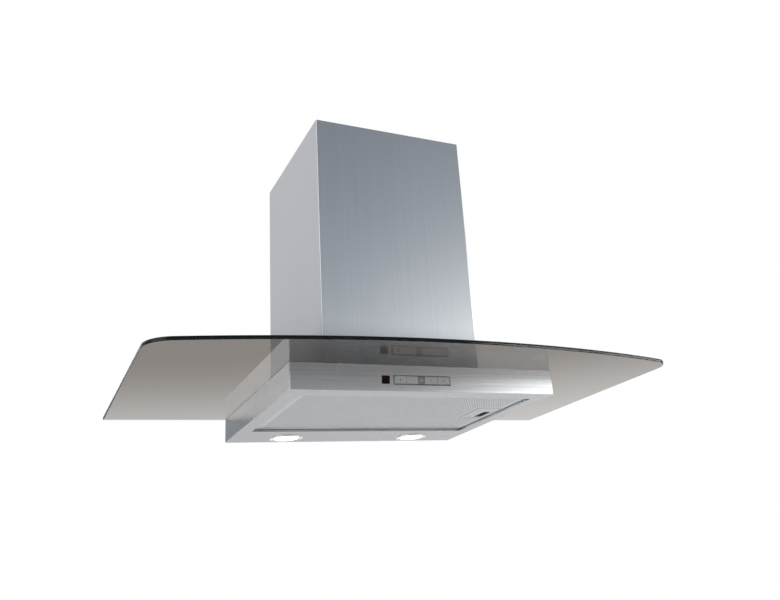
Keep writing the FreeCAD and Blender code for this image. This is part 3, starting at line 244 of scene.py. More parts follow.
def add_piece(name, points, face_sets, body, material, sharp=30.0, flat=()):
    """Put whole arrays of points and faces into a mesh object that rides on a body, if given.

    Edges whose faces meet at more than the angle `sharp`, in degrees, stay crisp, and so do
    the faces of the sets numbered in `flat`.
    """
    mesh = bpy.data.meshes.new(name)
    mesh.vertices.add(len(points))
    mesh.vertices.foreach_set("co", np.asarray(points, np.float32).ravel())
    corners = np.concatenate([np.asarray(faces, np.int32).ravel() for faces in face_sets])
    counts = np.concatenate([np.full(len(faces), faces.shape[1]) for faces in face_sets])
    starts = np.cumsum(counts) - counts
    mesh.loops.add(len(corners))
    mesh.loops.foreach_set("vertex_index", corners)
    mesh.polygons.add(len(counts))
    mesh.polygons.foreach_set("loop_start", starts.astype(np.int32))
    mesh.update(calc_edges=True)
    if mesh.validate():
        raise RuntimeError("the mesh of %s has bad faces" % name)
    mesh.set_sharp_from_angle(angle=math.radians(sharp))
    smooth = [np.full(len(faces), number not in flat) for number, faces in enumerate(face_sets)]
    mesh.polygons.foreach_set("use_smooth", np.concatenate(smooth))
    mesh.materials.append(material)
    piece = add_object(name, mesh)
    if body:
        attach(piece, body)
    return piece


def arc(centre, radius, start, end, steps):
    """Points at centre + radius (cos t, sin t), with t in even steps from start to end."""
    turn = np.linspace(start, end, steps + 1)
    return np.column_stack([centre[0] + radius * np.cos(turn),
                            centre[1] + radius * np.sin(turn)])


def rounded_rectangle(low, high, radius, steps=8):
    """A rectangle with a quarter circle at each corner, anticlockwise."""
    corners = ((high[0], high[1], 0.0), (low[0], high[1], 0.5), (low[0], low[1], 1.0),
               (high[0], low[1], 1.5))
    middle = ((low[0] + high[0]) / 2, (low[1] + high[1]) / 2)
    parts = []
    for x, y, start in corners:
        centre = (x - math.copysign(radius, x - middle[0]),
                  y - math.copysign(radius, y - middle[1]))
        parts.append(arc(centre, radius, start * math.pi, (start + 0.5) * math.pi, steps))
    return np.concatenate(parts)


def circle(centre, radius, steps=24):
    """A full circle, anticlockwise, without a doubled end point."""
    return arc(centre, radius, 0.0, 2 * math.pi, steps)[:-1]


def inside(points, loops):
    """Tell which points lie inside, by the even-odd rule.

    A point is inside where a ray to its right crosses the loops an odd number of times.
    """
    odd = np.zeros(len(points), bool)
    x, y = points.T[:, :, None]
    for loop in loops:
        x0, y0 = loop.T
        x1, y1 = np.roll(loop, -1, 0).T
        rise = np.where(y1 == y0, 1.0, y1 - y0)
        crosses = ((y0 > y) != (y1 > y)) & (x < x0 + (y - y0) * (x1 - x0) / rise)
        odd ^= np.count_nonzero(crosses, axis=1) % 2 == 1
    return odd


def triangles_between(points, edges):
    """Constrained Delaunay triangles of flat points, all anticlockwise, on the given edges."""
    result = delaunay_2d_cdt([Vector(point) for point in points],
                             [tuple(int(i) for i in edge) for edge in edges],
                             [], 0, SAME_POINT)
    if len(result[0]) != len(points):
        raise RuntimeError("two points or edges of a flat outline meet where they should not")
    source = np.array([origin[0] for origin in result[3]])
    triangles = source[np.array(result[2])]
    a, b, c = (points[triangles[:, k]] for k in range(3))
    area = (b[:, 0] - a[:, 0]) * (c[:, 1] - a[:, 1]) - (b[:, 1] - a[:, 1]) * (c[:, 0] - a[:, 0])
    triangles[area < 0] = triangles[area < 0][:, ::-1]
    return triangles[np.abs(area) > NO_AREA]


def loop_edges(loops):
    """Index pairs that join each loop's points in order and close it."""
    edges = []
    first = 0
    for loop in loops:
        index = np.arange(len(loop)) + first
        edges.append(np.column_stack([index, np.roll(index, -1)]))
        first += len(loop)
    return np.concatenate(edges)


def flat_shape(loops):
    """Points and triangles that fill the area between loops, by the even-odd rule."""
    points = np.concatenate(loops)
    triangles = triangles_between(points, loop_edges(loops))
    return points, triangles[inside(points[triangles].mean(1), loops)]


def thick_plate(flat, face_sets, low, high):
    """Close a flat mesh into a plate between two levels.

    The faces are repeated at both levels, turned over at the lower one, and every edge
    that only one face uses gets a wall.
    """
    count = len(flat)
    points = np.concatenate([np.column_stack([flat, np.full(count, level)])
                             for level in (low, high)])
    directed = np.concatenate([np.column_stack([faces.ravel(), np.roll(faces, -1, 1).ravel()])
                               for faces in face_sets])
    forward = directed[:, 0].astype(np.int64) * count + directed[:, 1]
    backward = directed[:, 1].astype(np.int64) * count + directed[:, 0]
    free = directed[~np.isin(forward, backward)]
    walls = np.column_stack([free[:, 0], free[:, 1], free[:, 1] + count, free[:, 0] + count])
    sets = [faces[:, ::-1] for faces in face_sets] + [faces + count for faces in face_sets]
    return points, sets + [walls]


def inward(loop):
    """Unit offset of each point towards the side on the loop's left, lengthened at corners.

    With the left normals n1 and n2 of the two edges at a point, it is (n1 + n2) / (1 + n1 . n2).
    """
    step = np.roll(loop, -1, 0) - loop
    step /= np.linalg.norm(step, axis=1)[:, None]
    after = np.column_stack([-step[:, 1], step[:, 0]])
    before = np.roll(after, 1, 0)
    return (before + after) / (1 + (before * after).sum(1))[:, None]


def grid_faces(rows, spots, close_rows=True, close_spots=True):
    """Four-sided faces between the points of a grid that is numbered row by row.

    A closed direction joins its last points to its first.
    """
    row, spot = np.meshgrid(np.arange(rows if close_rows else rows - 1),
                            np.arange(spots if close_spots else spots - 1), indexing="ij")
    after = (row + 1) % rows
    beside = (spot + 1) % spots
    return np.stack([row * spots + spot, after * spots + spot,
                     after * spots + beside, row * spots + beside], -1).reshape(-1, 4)


def rounded_plate(loops, low, high, rounding, steps=4):
    """A plate with rounded edges. The material lies on the left of each loop.

    The edge profile is a quarter circle of the rounding at each face with a flat between:
    inset = rounding (1 - cos a), height = rounding (1 - sin a) from the face.
    """
    angle = np.linspace(math.pi / 2, 0.0, steps + 1)
    inset = rounding * (1 - np.cos(angle))
    rise = rounding * (1 - np.sin(angle))
    insets = np.concatenate([inset, inset[::-1]])
    levels = np.concatenate([low + rise, high - rise[::-1]])
    points, walls, outlines, lower, upper = [], [], [], [], []
    first = 0
    for loop in loops:
        count = len(loop)
        rings = loop[None] + inward(loop)[None] * insets[:, None, None]
        heights = np.broadcast_to(levels[:, None, None], (len(levels), count, 1))
        points.append(np.concatenate([rings, heights], 2).reshape(-1, 3))
        walls.append(first + grid_faces(len(levels), count, close_rows=False)[:, [0, 3, 2, 1]])
        outlines.append(rings[0])
        lower.append(first + np.arange(count))
        first += len(levels) * count
        upper.append(first - count + np.arange(count))
    triangles = flat_shape(outlines)[1]
    caps = np.concatenate([np.concatenate(lower)[triangles][:, ::-1],
                           np.concatenate(upper)[triangles]])
    return np.concatenate(points), [np.concatenate(walls), caps]


def spun(radius, height, centre, segments):
    """The points of a profile's (r, h) pairs, carried round a vertical axis, row by row.

    x = cx + r cos t, y = cy + r sin t, z = h.
    """
    turn = np.linspace(0, 2 * math.pi, segments, endpoint=False)[:, None]
    x = centre[0] + radius * np.cos(turn)
    y = centre[1] + radius * np.sin(turn)
    return np.stack([x, y, np.broadcast_to(height, x.shape)], -1).reshape(-1, 3)


def ring_solid(radius, height, centre, segments):
    """A closed profile carried round a vertical axis, its pairs listed anticlockwise."""
    return spun(radius, height, centre, segments), [grid_faces(segments, len(radius))]


def disc_solid(radius, lower, upper, centre, segments):
    """A round solid between two surfaces, closed by a fan of triangles at each pole.

    For each circle from the axis outward, `radius` is its radius, and `lower` and `upper`
    are the heights of the two surfaces there.
    """
    height = np.concatenate([lower, upper[::-1]])
    points = spun(np.concatenate([radius, radius[::-1]]), height, centre, segments)
    count = len(height)
    poles = [(*centre, height[0]), (*centre, height[-1])]
    start = np.arange(segments) * count
    follow = np.roll(start, -1)
    pole = np.full(segments, len(points))
    fans = np.concatenate([np.column_stack([pole, follow, start]),
                           np.column_stack([pole + 1, start + count - 1, follow + count - 1])])
    return (np.concatenate([points, poles]),
            [grid_faces(segments, count, close_spots=False), fans])


# ---- Shader nodes --------------------------------------------------------------------
def fill(tree, node, inputs):
    """Set a node's inputs to values, or link sockets to them."""
    for key, value in inputs.items():
        if isinstance(value, bpy.types.NodeSocket):
            tree.links.new(value, node.inputs[key])
        else:
            node.inputs[key].default_value = value


def add_node(tree, kind, inputs=None, **settings):
    """A shader node with its settings, and its inputs given as values or as sockets to link."""
    made = tree.nodes.new(kind)
    for key, value in settings.items():
        setattr(made, key, value)
    fill(tree, made, inputs or {})
    return made


def calculate(tree, operation, *values, clamp=False):
    """A Math node; each value is a number or a socket."""
    return add_node(tree, "ShaderNodeMath", dict(enumerate(values)),
                    operation=operation, use_clamp=clamp).outputs[0]


def ramp(tree, value, start, end, low=0.0, high=1.0, kind="SMOOTHSTEP"):
    """low up to the start value, high from the end value on, and a curve or line between."""
    return add_node(tree, "ShaderNodeMapRange", {
        "Value": value, "From Min": start, "From Max": end, "To Min": low, "To Max": high},
        interpolation_type=kind).outputs[0]


def blend_values(tree, factor, low, high):
    """low where the factor is 0, high where it is 1."""
    return ramp(tree, factor, 0.0, 1.0, low, high, "LINEAR")


def blend_colours(tree, factor, low, high, mode="MIX"):
    """Mix two colours, each a socket or three numbers."""
    low, high = (value if isinstance(value, bpy.types.NodeSocket) else (*value, 1.0)
                 for value in (low, high))
    return add_node(tree, "ShaderNodeMix", {0: factor, 6: low, 7: high},
                    data_type="RGBA", blend_type=mode).outputs[2]


def object_place(tree):
    """A surface's point in its object's own space."""
    return add_node(tree, "ShaderNodeTexCoord").outputs["Object"]


def noise(tree, place, scale, detail, roughness=0.5):
    """Soft noise over a place."""
    return add_node(tree, "ShaderNodeTexNoise", {
        "Vector": place, "Scale": scale, "Detail": detail, "Roughness": roughness}).outputs[0]


def relief(tree, height, strength, depth=0.1 * MM):
    """A normal that follows a height between 0 and 1."""
    return add_node(tree, "ShaderNodeBump", {
        "Strength": strength, "Distance": depth, "Height": height}).outputs[0]


def new_group(name, inputs, outputs):
    """An empty node group with its inputs' values and its outputs' names, and its end nodes."""
    group = bpy.data.node_groups.new(name, "ShaderNodeTree")
    for label, value in inputs.items():
        kind = "NodeSocketVector" if isinstance(value, tuple) else "NodeSocketFloat"
        socket = group.interface.new_socket(name=label, in_out="INPUT", socket_type=kind)
        socket.default_value = value
    for label in outputs:
        group.interface.new_socket(name=label, in_out="OUTPUT", socket_type="NodeSocketFloat")
    return group, group.nodes.new("NodeGroupInput"), group.nodes.new("NodeGroupOutput")


def grain_group():
    """Fine noise drawn out along one direction, and broad soft patches, in object space."""
    group = bpy.data.node_groups.get("surface_grain")
    if group:
        return group
    group, start, end = new_group(
        "surface_grain", {"Stretch": (1.0, 1.0, 1.0), "Patch Size": 8.0}, ("Grain", "Patch"))
    place = object_place(group)
    drawn = add_node(group, "ShaderNodeVectorMath", {0: place, 1: start.outputs["Stretch"]},
                     operation="MULTIPLY").outputs[0]
    fine = noise(group, drawn, 1.0, 5.0, 0.65)
    broad = noise(group, place, start.outputs["Patch Size"], 2.0)
    fill(group, end, {"Grain": ramp(group, fine, 0.3, 0.7, kind="SMOOTHERSTEP"),
                      "Patch": ramp(group, broad, 0.35, 0.65, kind="SMOOTHERSTEP")})
    return group


def grain(tree, stretch, patch=8.0):
    """The grain's outputs; the stretch is one scale, or one for each axis."""
    stretch = stretch if isinstance(stretch, tuple) else (stretch,) * 3
    return add_node(tree, "ShaderNodeGroup", {"Stretch": stretch, "Patch Size": patch},
                    node_tree=grain_group()).outputs


def smudge_group():
    """Faint wiped marks: the high parts of a soft noise, as a mask over the surface."""
    group = bpy.data.node_groups.get("wiped_marks")
    if group:
        return group
    group, start, end = new_group("wiped_marks", {"Size": 9.0, "Amount": 0.5}, ("Mask",))
    cloud = noise(group, object_place(group), start.outputs["Size"], 1.5)
    mask = ramp(group, cloud, 0.4, 0.8, kind="SMOOTHERSTEP")
    fill(group, end, {"Mask": calculate(group, "MULTIPLY", mask, start.outputs["Amount"])})
    return group


def wiped_marks(tree, amount, size=9.0):
    """The mask of the wiped marks."""
    return add_node(tree, "ShaderNodeGroup", {"Size": size, "Amount": amount},
                    node_tree=smudge_group()).outputs["Mask"]


def start_material(name):
    """An empty material with an output and a Principled shader."""
    material = bpy.data.materials.new("hood_" + name)
    material.use_nodes = True
    tree = material.node_tree
    tree.nodes.clear()
    shader = add_node(tree, "ShaderNodeBsdfPrincipled")
    output = add_node(tree, "ShaderNodeOutputMaterial", {"Surface": shader.outputs[0]})
    return material, tree, shader, output


def surface(name, light, dark, rough, stretch, bump=0.1, mark=0.0, patch=8.0, **constants):
    """A finish whose colour, roughness and relief follow the grain of its surface.

    `rough` is the roughness between the patches and on them. `constants` go on the shader's
    own sockets.
    """
    material, tree, shader, _ = start_material(name)
    texture = grain(tree, stretch, patch)
    roughness = blend_values(tree, texture["Patch"], *rough)
    if mark:
        roughness = calculate(tree, "ADD", roughness, wiped_marks(tree, mark), clamp=True)
    if bump:
        fill(tree, shader, {"Normal": relief(tree, texture["Grain"], bump)})
    fill(tree, shader, {"Base Color": blend_colours(tree, texture["Grain"], dark, light),
                        "Roughness": roughness})
    fill(tree, shader, {key.replace("_", " "): value for key, value in constants.items()})
    return material


def principled(material):
    """The shader of a material that start_material began."""
    return next(node for node in material.node_tree.nodes if node.type == "BSDF_PRINCIPLED")


def brushed(name, colour, rough, stretch, axis, turn, spread=0.10, drawn=0.75):
    """Brushed steel: streaks along the sheet and reflections drawn out across them."""
    light = [min(1.0, c * (1 + spread)) for c in colour]
    dark = [c * (1 - spread) for c in colour]
    material = surface(name, light, dark, (rough - 0.01, rough + 0.01), stretch, bump=0.0,
                       patch=2.5, Metallic=1.0, Anisotropic=drawn, Anisotropic_Rotation=turn)
    tree = material.node_tree
    tangent = add_node(tree, "ShaderNodeTangent", direction_type="RADIAL", axis=axis)
    fill(tree, principled(material), {"Tangent": tangent.outputs[0]})
    return material


def paint_shade_at_foot(material, foot, top, share):
    """Painted shade: darken a finish's colour towards its foot, in place of the reflection of the
    dark glass that it stands on.

    The colour is multiplied by share at the foot and by 1 from the top level upward.
    """
    tree = material.node_tree
    shader = principled(material)
    colour = shader.inputs["Base Color"].links[0].from_socket
    height = add_node(tree, "ShaderNodeSeparateXYZ", {0: object_place(tree)}).outputs["Z"]
    shade = ramp(tree, height, foot, top, share, 1.0)
    fill(tree, shader, {"Base Color": blend_colours(tree, 1.0, colour, shade, "MULTIPLY")})


def plastic(name, colour, rough, size=1400.0, bump=0.12, **constants):
    """Moulded plastic with a fine even texture, a little lighter on its high points."""
    dark = [c * 0.85 for c in colour]
    return surface(name, colour, dark, (rough - 0.05, rough + 0.05), size, bump=bump,
                   patch=14.0, **constants)


def galvanised_sheet():
    """Zinc with flakes of its own shades and a dull shine."""
    _, tree, shader, _ = start_material("zinc_sheet")
    flakes = add_node(tree, "ShaderNodeTexVoronoi", {
        "Vector": object_place(tree), "Scale": 120.0})
    tone = add_node(tree, "ShaderNodeSeparateColor", {0: flakes.outputs["Color"]}).outputs
    fill(tree, shader, {
        "Base Color": blend_colours(tree, tone[0], (0.42, 0.44, 0.45), (0.60, 0.62, 0.63)),
        "Roughness": blend_values(tree, tone[1], 0.34, 0.52),
        "Normal": relief(tree, grain(tree, 900.0)["Grain"], 0.1, 0.08 * MM),
        "Metallic": 0.9})


def smoked_glass(settings):
    """Clear grey-brown glass with faint wiped marks; its body darkens light along the path."""
    _, tree, shader, output = start_material("smoked_glass")
    marks = wiped_marks(tree, 0.008, 5.0)
    tint = settings.colour
    body = add_node(tree, "ShaderNodeVolumeAbsorption",
                    {"Color": (0.13, 0.065, 0.0, 1.0), "Density": settings.absorption})
    fill(tree, shader, {
        "Base Color": blend_colours(tree, marks, tint, [c * 0.9 for c in tint]),
        "Roughness": marks, "Transmission Weight": 1.0, "IOR": 1.4})
    fill(tree, output, {"Volume": body.outputs[0]})


def lamp_glass(settings):
    """Frosted lens that glows, a little warmer between its soft patches."""
    _, tree, shader, _ = start_material("lamp_lens_glass")
    frost = grain(tree, 1500.0)
    glow = blend_colours(tree, frost["Patch"], (1.0, 0.97, 0.92), (1.0, 1.0, 0.98))
    fill(tree, shader, {
        "Base Color": glow, "Emission Color": glow, "Emission Strength": settings.glow,
        "Roughness": blend_values(tree, frost["Grain"], 0.35, 0.5),
        "Normal": relief(tree, frost["Grain"], 0.2)})


def circuit_board():
    """Green solder mask over a pattern of tracks, with tinned pads."""
    _, tree, shader, _ = start_material("board_mask")
    place = object_place(tree)
    tracks = add_node(tree, "ShaderNodeTexBrick", {
        "Vector": place, "Scale": 160.0, "Mortar Size": 0.08, "Mortar Smooth": 0.1,
        "Color1": (0.012, 0.11, 0.045, 1), "Color2": (0.015, 0.13, 0.055, 1),
        "Mortar": (0.03, 0.22, 0.09, 1)})
    pads = add_node(tree, "ShaderNodeTexVoronoi", {"Vector": place, "Scale": 240.0})
    pad = calculate(tree, "LESS_THAN", pads.outputs["Distance"], 0.22)
    fill(tree, shader, {
        "Base Color": blend_colours(tree, pad, tracks.outputs["Color"], (0.62, 0.60, 0.55)),
        "Roughness": blend_values(tree, pad, 0.42, 0.28), "Metallic": pad})


def wire_mesh():
    """Layers of knitted aluminium: crossing waves of light and dark."""
    _, tree, shader, _ = start_material("knitted_aluminium")
    place = object_place(tree)
    waves = [add_node(tree, "ShaderNodeTexWave", {
        "Vector": place, "Scale": 260.0, "Distortion": 1.2, "Detail": 1.0, "Detail Scale": 2.0},
        bands_direction=axis).outputs["Fac"] for axis in ("X", "Y")]
    wire = calculate(tree, "MAXIMUM", *waves)
    fill(tree, shader, {
        "Base Color": blend_colours(tree, wire, (0.02, 0.02, 0.021), (0.15, 0.155, 0.16)),
        "Normal": relief(tree, wire, 0.6, 0.3 * MM),
        "Roughness": blend_values(tree, wire, 0.6, 0.35), "Metallic": 0.85})


# Grained metals: the grain's light and dark colours, the roughness between the patches and
# on them, the grain's scale, its relief and the amount of wiped marks
METALS = {
    "filter_steel": ((0.68, 0.695, 0.71), (0.60, 0.61, 0.63), (0.34, 0.42),
                     (60.0, 900.0, 60.0), 0.1, 0.04),
    "handle_steel": ((0.60, 0.61, 0.62), (0.54, 0.55, 0.56), (0.30, 0.36),
                     (60.0, 900.0, 60.0), 0.08, 0.05),
    "frame_aluminium": ((0.64, 0.65, 0.66), (0.56, 0.57, 0.58), (0.32, 0.42),
                        (8.0, 8.0, 700.0), 0.1, 0.04),
    "bright_steel": ((0.60, 0.61, 0.63), (0.48, 0.49, 0.51), (0.18, 0.28), 900.0, 0.06),
    "zinc_plating": ((0.62, 0.62, 0.60), (0.50, 0.50, 0.50), (0.26, 0.38), 800.0, 0.08),
    "lamp_chrome": ((0.80, 0.80, 0.81), (0.72, 0.72, 0.73), (0.14, 0.20), 500.0, 0.03),
}
# Plastics, rubber, paint and ink: colour, roughness, and what differs from plain plastic
PLASTICS = {
    "dark_plastic": ((0.045, 0.045, 0.05), 0.55, {}),
    "black_plastic": ((0.014, 0.014, 0.016), 0.28, {"bump": 0.05}),
    "grey_plastic": ((0.30, 0.30, 0.31), 0.55, {}),
    "white_plastic": ((0.72, 0.72, 0.70), 0.5, {}),
    "bezel_plastic": ((0.15, 0.153, 0.158), 0.38, {"bump": 0.04}),
    "latch_plastic": ((0.10, 0.10, 0.105), 0.5, {}),
    "key_plastic": ((0.40, 0.41, 0.42), 0.42, {"bump": 0.06, "Metallic": 0.2}),
    "middle_key_plastic": ((0.20, 0.21, 0.22), 0.38, {"bump": 0.06, "Metallic": 0.35}),
    "display_plastic": ((0.008, 0.0012, 0.0018), 0.12,
                        {"bump": 0.01, "Specular_IOR_Level": 0.3}),
    "soft_rubber": ((0.022, 0.022, 0.023), 0.75, {"size": 700.0, "bump": 0.25}),
    "motor_paint": ((0.050, 0.054, 0.058), 0.38,
                    {"size": 500.0, "bump": 0.2, "Coat_Weight": 0.2}),
    "sign_ink": ((0.20, 0.20, 0.21), 0.5, {"bump": 0.03}),
    "pale_ink": ((0.50, 0.51, 0.52), 0.5, {"bump": 0.03}),
}


def make_finishes(scene):
    """Make every finish."""
    for name, row in METALS.items():
        surface(name, *row, Metallic=1.0)
    for name, (colour, rough, more) in PLASTICS.items():
        plastic(name, colour, rough, **more)
    colour = list(scene.hood_steel.colour)
    rough = scene.hood_steel.roughness
    brushed("band_steel", colour, rough, (3.0, 3.0, 900.0), "Z", 0.25)
    brushed("rim_steel", [0.93 * c for c in colour], rough, (3.0, 900.0, 3.0), "X", 0.0, 0.08)
    chimney = brushed("chimney_steel", colour, rough + 0.03, (700.0, 700.0, 2.0), "Z", 0.0,
                      0.03, 0.45)
    # Painted shade: the chimney's colour darkens towards its foot in place of the dark glass that
    # it mirrors
    paint_shade_at_foot(chimney, -90 * MM, 0.0, 0.30)
    galvanised_sheet()
    wire_mesh()
    circuit_board()
    smoked_glass(scene.hood_glass)
    lamp_glass(scene.hood_lamps)


def finish(name):
    """A finish that the first operator made."""
    material = bpy.data.materials.get("hood_" + name)
    if material is None:
        raise RuntimeError("the finishes are made first; %s is missing" % name)
    return material


# Slots and nodes whose finish has another name than the slot
FINISH_OF_SLOT = {
    "stainless_body": "band_steel",
    "stainless_chimney": "chimney_steel",
    "galvanised": "zinc_sheet",
    "filter_aluminium": "frame_aluminium",
    "key_caps": "key_plastic",
    "key_middle": "middle_key_plastic",
    "circuit_board": "board_mask",
    "rubber": "soft_rubber",
    "spring_steel": "bright_steel",
    "fastener_steel": "zinc_plating",
    "lamp_ring": "lamp_chrome",
    "lamp_glass": "lamp_lens_glass",
    "motor_steel": "motor_paint",
}
FINISH_OF_NODE = {
    "rim_panel": "rim_steel",
    "filter_media": "knitted_aluminium",
    "capacitor": "frame_aluminium",
    "key_bezel": "bezel_plastic",
    "latch_slider": "latch_plastic",
}


# ---- Operators -----------------------------------------------------------------------
class HOOD_OT_finishes(bpy.types.Operator):
    """Make every finish, give each part of the frame its own, and break the edges of the listed
    sheets and mouldings
    """
    bl_idname = "hood.finishes"
    bl_label = "Finishes"

    def execute(self, context):
        make_finishes(context.scene)
        for part in frame["record"]["subparts"]:
            name = part["node"]
            node = frame["nodes"][name]
            slot = part["material_slot"]
            chosen = FINISH_OF_NODE.get(name) or FINISH_OF_SLOT.get(slot, slot)
            node.data.materials.clear()
            node.data.materials.append(finish(chosen))
            if name in BROKEN_EDGE_NODES:
                weld = node.modifiers.new("joined_faces", "WELD")
                weld.merge_threshold = JOIN_DISTANCE
                bevel = node.modifiers.new("broken_edges", "BEVEL")
                bevel.width = context.scene.hood_steel.arris
                bevel.segments = 2
                bevel.limit_method = "ANGLE"
                bevel.angle_limit = BROKEN_ANGLE
                bevel.harden_normals = True
        return {"FINISHED"}


def canopy_outline(low, high, radius, corner):
    """The glass seen from above, anticlockwise, from its rear left corner.

    The front is an arc of the given radius about a centre on the middle line. Each front
    corner is an arc that touches the side and the front: its centre lies radius - corner
    from the front arc's centre and corner inside the side.
    """
    centre = np.array([0.0, low.y + radius])
    x = low.x + corner
    y = centre[1] - math.sqrt((radius - corner) ** 2 - x ** 2)
    meet = math.atan2(y - centre[1], x)
    left = arc((x, y), corner, -math.pi, meet, CORNER_STEPS)
    front = arc(centre, radius, meet, -math.pi - meet, FRONT_STEPS)
    right = arc((-x, y), corner, -math.pi - meet, 0.0, CORNER_STEPS)
    return np.concatenate([[[low.x, high.y]], left, front[1:-1], right, [[high.x, high.y]]])


class HOOD_OT_glass(bpy.types.Operator):
    """Make the glass canopy: a flat sheet with a bowed front edge and polished arrises"""
    bl_idname = "hood.glass"
    bl_label = "Glass canopy"

    def execute(self, context):
        settings = context.scene.hood_glass
        low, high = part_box("glass_canopy")
        bush_low, bush_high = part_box("glass_bushes")
        loops = [canopy_outline(low, high, settings.front_radius, settings.corner_radius)]
        opening = rounded_rectangle((-OPENING_HALF, OPENING_FRONT), (OPENING_HALF, OPENING_REAR),
                                    OPENING_CORNER)
        loops.append(opening[::-1])
        ends = (bush_low.y + BUSH_RADIUS, bush_high.y - BUSH_RADIUS)
        for x in (bush_low.x + BUSH_RADIUS, bush_high.x - BUSH_RADIUS):
            for y in (ends[0], sum(ends) / 2, ends[1]):
                loops.append(circle((x, y), BUSH_RADIUS)[::-1])
        points, faces = rounded_plate(loops, low.z + FACE_CLEARANCE, high.z - FACE_CLEARANCE,
                                      settings.edge_rounding)
        piece = add_piece("canopy_glass", points, faces, "root",
                          finish("smoked_glass"), flat=(1,))
        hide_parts("glass_canopy")
        return {"FINISHED"}


def perforated_flat(low, high, pitch, radius, border, cut=None):
    """Points, quads and triangles of a flat sheet with staggered six-sided holes.

    Holes stand at (i + 1/2 + (j mod 2) / 2) pitch along x and (j + 1/2) times
    pitch cos 30 degrees along y. Each is joined by six quads to its cell's four corners and
    to the middles of its two long sides. Cells that reach over the border, or over the
    cut-out, are left out, and plain triangles fill what remains. The cut-out is open to the
    right side.
    """
    row_height = pitch * math.cos(math.pi / 6)
    columns = int((high[0] - low[0] - 2 * border) / pitch)
    rows = int((high[1] - low[1] - 2 * border) / row_height)
    origin = np.array([(low[0] + high[0] - columns * pitch) / 2,
                       (low[1] + high[1] - rows * row_height) / 2])
    row, column = np.meshgrid(np.arange(rows), np.arange(columns), indexing="ij")
    left = 2 * column + row % 2
    kept = left + 2 <= 2 * columns
    if cut is not None:
        x0 = origin[0] + left * pitch / 2
        y0 = origin[1] + row * row_height
        kept &= ((x0 + pitch < cut[0][0] - border) | (x0 > cut[1][0] + border)
                 | (y0 + row_height < cut[0][1] - border) | (y0 > cut[1][1] + border))
    steps_x = np.array([2, 2, 1, 0, 0, 1])
    steps_y = np.array([0, 1, 1, 1, 0, 0])
    keys = np.stack([left[kept][:, None] + steps_x, row[kept][:, None] + steps_y], -1)
    unique, index = np.unique(keys.reshape(-1, 2), axis=0, return_inverse=True)
    index = index.reshape(-1, 6)
    rim = origin + unique * np.array([pitch / 2, row_height])
    centres = origin + np.stack([(left[kept] + 1) * pitch / 2,
                                 (row[kept] + 0.5) * row_height], -1)
    turn = np.radians(np.arange(6) * 60.0 - 30.0)
    hole = centres[:, None] + radius * np.stack([np.cos(turn), np.sin(turn)], -1)
    hole_index = len(rim) + np.arange(hole.shape[0] * 6).reshape(-1, 6)
    quads = np.stack([index, np.roll(index, -1, 1), np.roll(hole_index, -1, 1), hole_index], -1)
    edges = np.stack([index, np.roll(index, -1, 1)], -1).reshape(-1, 2).astype(np.int64)
    size = len(rim)
    free = edges[~np.isin(edges[:, 0] * size + edges[:, 1], edges[:, 1] * size + edges[:, 0])]
    used, compact = np.unique(free, return_inverse=True)
    corners = [(low[0], low[1]), (high[0], low[1]), (high[0], high[1]), (low[0], high[1])]
    if cut is not None:
        corners[2:2] = [(high[0], cut[0][1]), (cut[0][0], cut[0][1]), (cut[0][0], cut[1][1]),
                        (high[0], cut[1][1])]
    corners = np.array(corners)
    outline = loop_edges([corners]) + len(used)
    flat = np.concatenate([rim[used], corners])
    triangles = triangles_between(flat, np.concatenate([compact.reshape(-1, 2), outline]))
    middle = flat[triangles].mean(1)
    row_at = np.floor((middle[:, 1] - origin[1]) / row_height).astype(int)
    column_at = np.floor((middle[:, 0] - origin[0]) / pitch - 0.5 * (row_at % 2)).astype(int)
    within = (row_at >= 0) & (row_at < rows) & (column_at >= 0) & (column_at < columns)
    holed = np.zeros(len(middle), bool)
    holed[within] = kept[row_at[within], column_at[within]]
    plain = ~holed
    if cut is not None:
        plain &= ~((middle > cut[0]).all(1) & (middle < cut[1]).all(1))
    first_corner = len(rim) + hole.shape[0] * 6
    lookup = np.concatenate([used, first_corner + np.arange(len(corners))])
    points = np.concatenate([rim, hole.reshape(-1, 2), corners])
    return points, quads.reshape(-1, 4), lookup[triangles[plain]]


class HOOD_OT_filter(bpy.types.Operator):
    """Make the perforated face and back sheets of the grease filter"""
    bl_idname = "hood.filter"
    bl_label = "Grease filter"

    def execute(self, context):
        settings = context.scene.hood_filter
        low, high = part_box("filter_face")
        handle_low, handle_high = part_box("handle_plate")
        gap = settings.handle_gap
        cut = (np.array([handle_low.x - gap, handle_low.y - gap]),
               np.array([high.x + gap, handle_high.y + gap]))
        face = self.sheet("filter_sheet", low, high, settings.hole_pitch,
                          settings.hole_radius, settings.plain_border, cut)
        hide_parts("filter_face")
        low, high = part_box("filter_grid")
        back = self.sheet("filter_back_sheet", low, high, settings.back_pitch,
                          settings.back_radius, settings.plain_border)
        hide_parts("filter_grid")
        return {"FINISHED"}

    def sheet(self, name, low, high, *holes):
        """One perforated sheet that fills a box."""
        flat, quads, triangles = perforated_flat(low, high, *holes)
        points, faces = thick_plate(flat, [quads, triangles], low.z, high.z)
        return add_piece(name, points, faces, "filter", finish("filter_steel"))


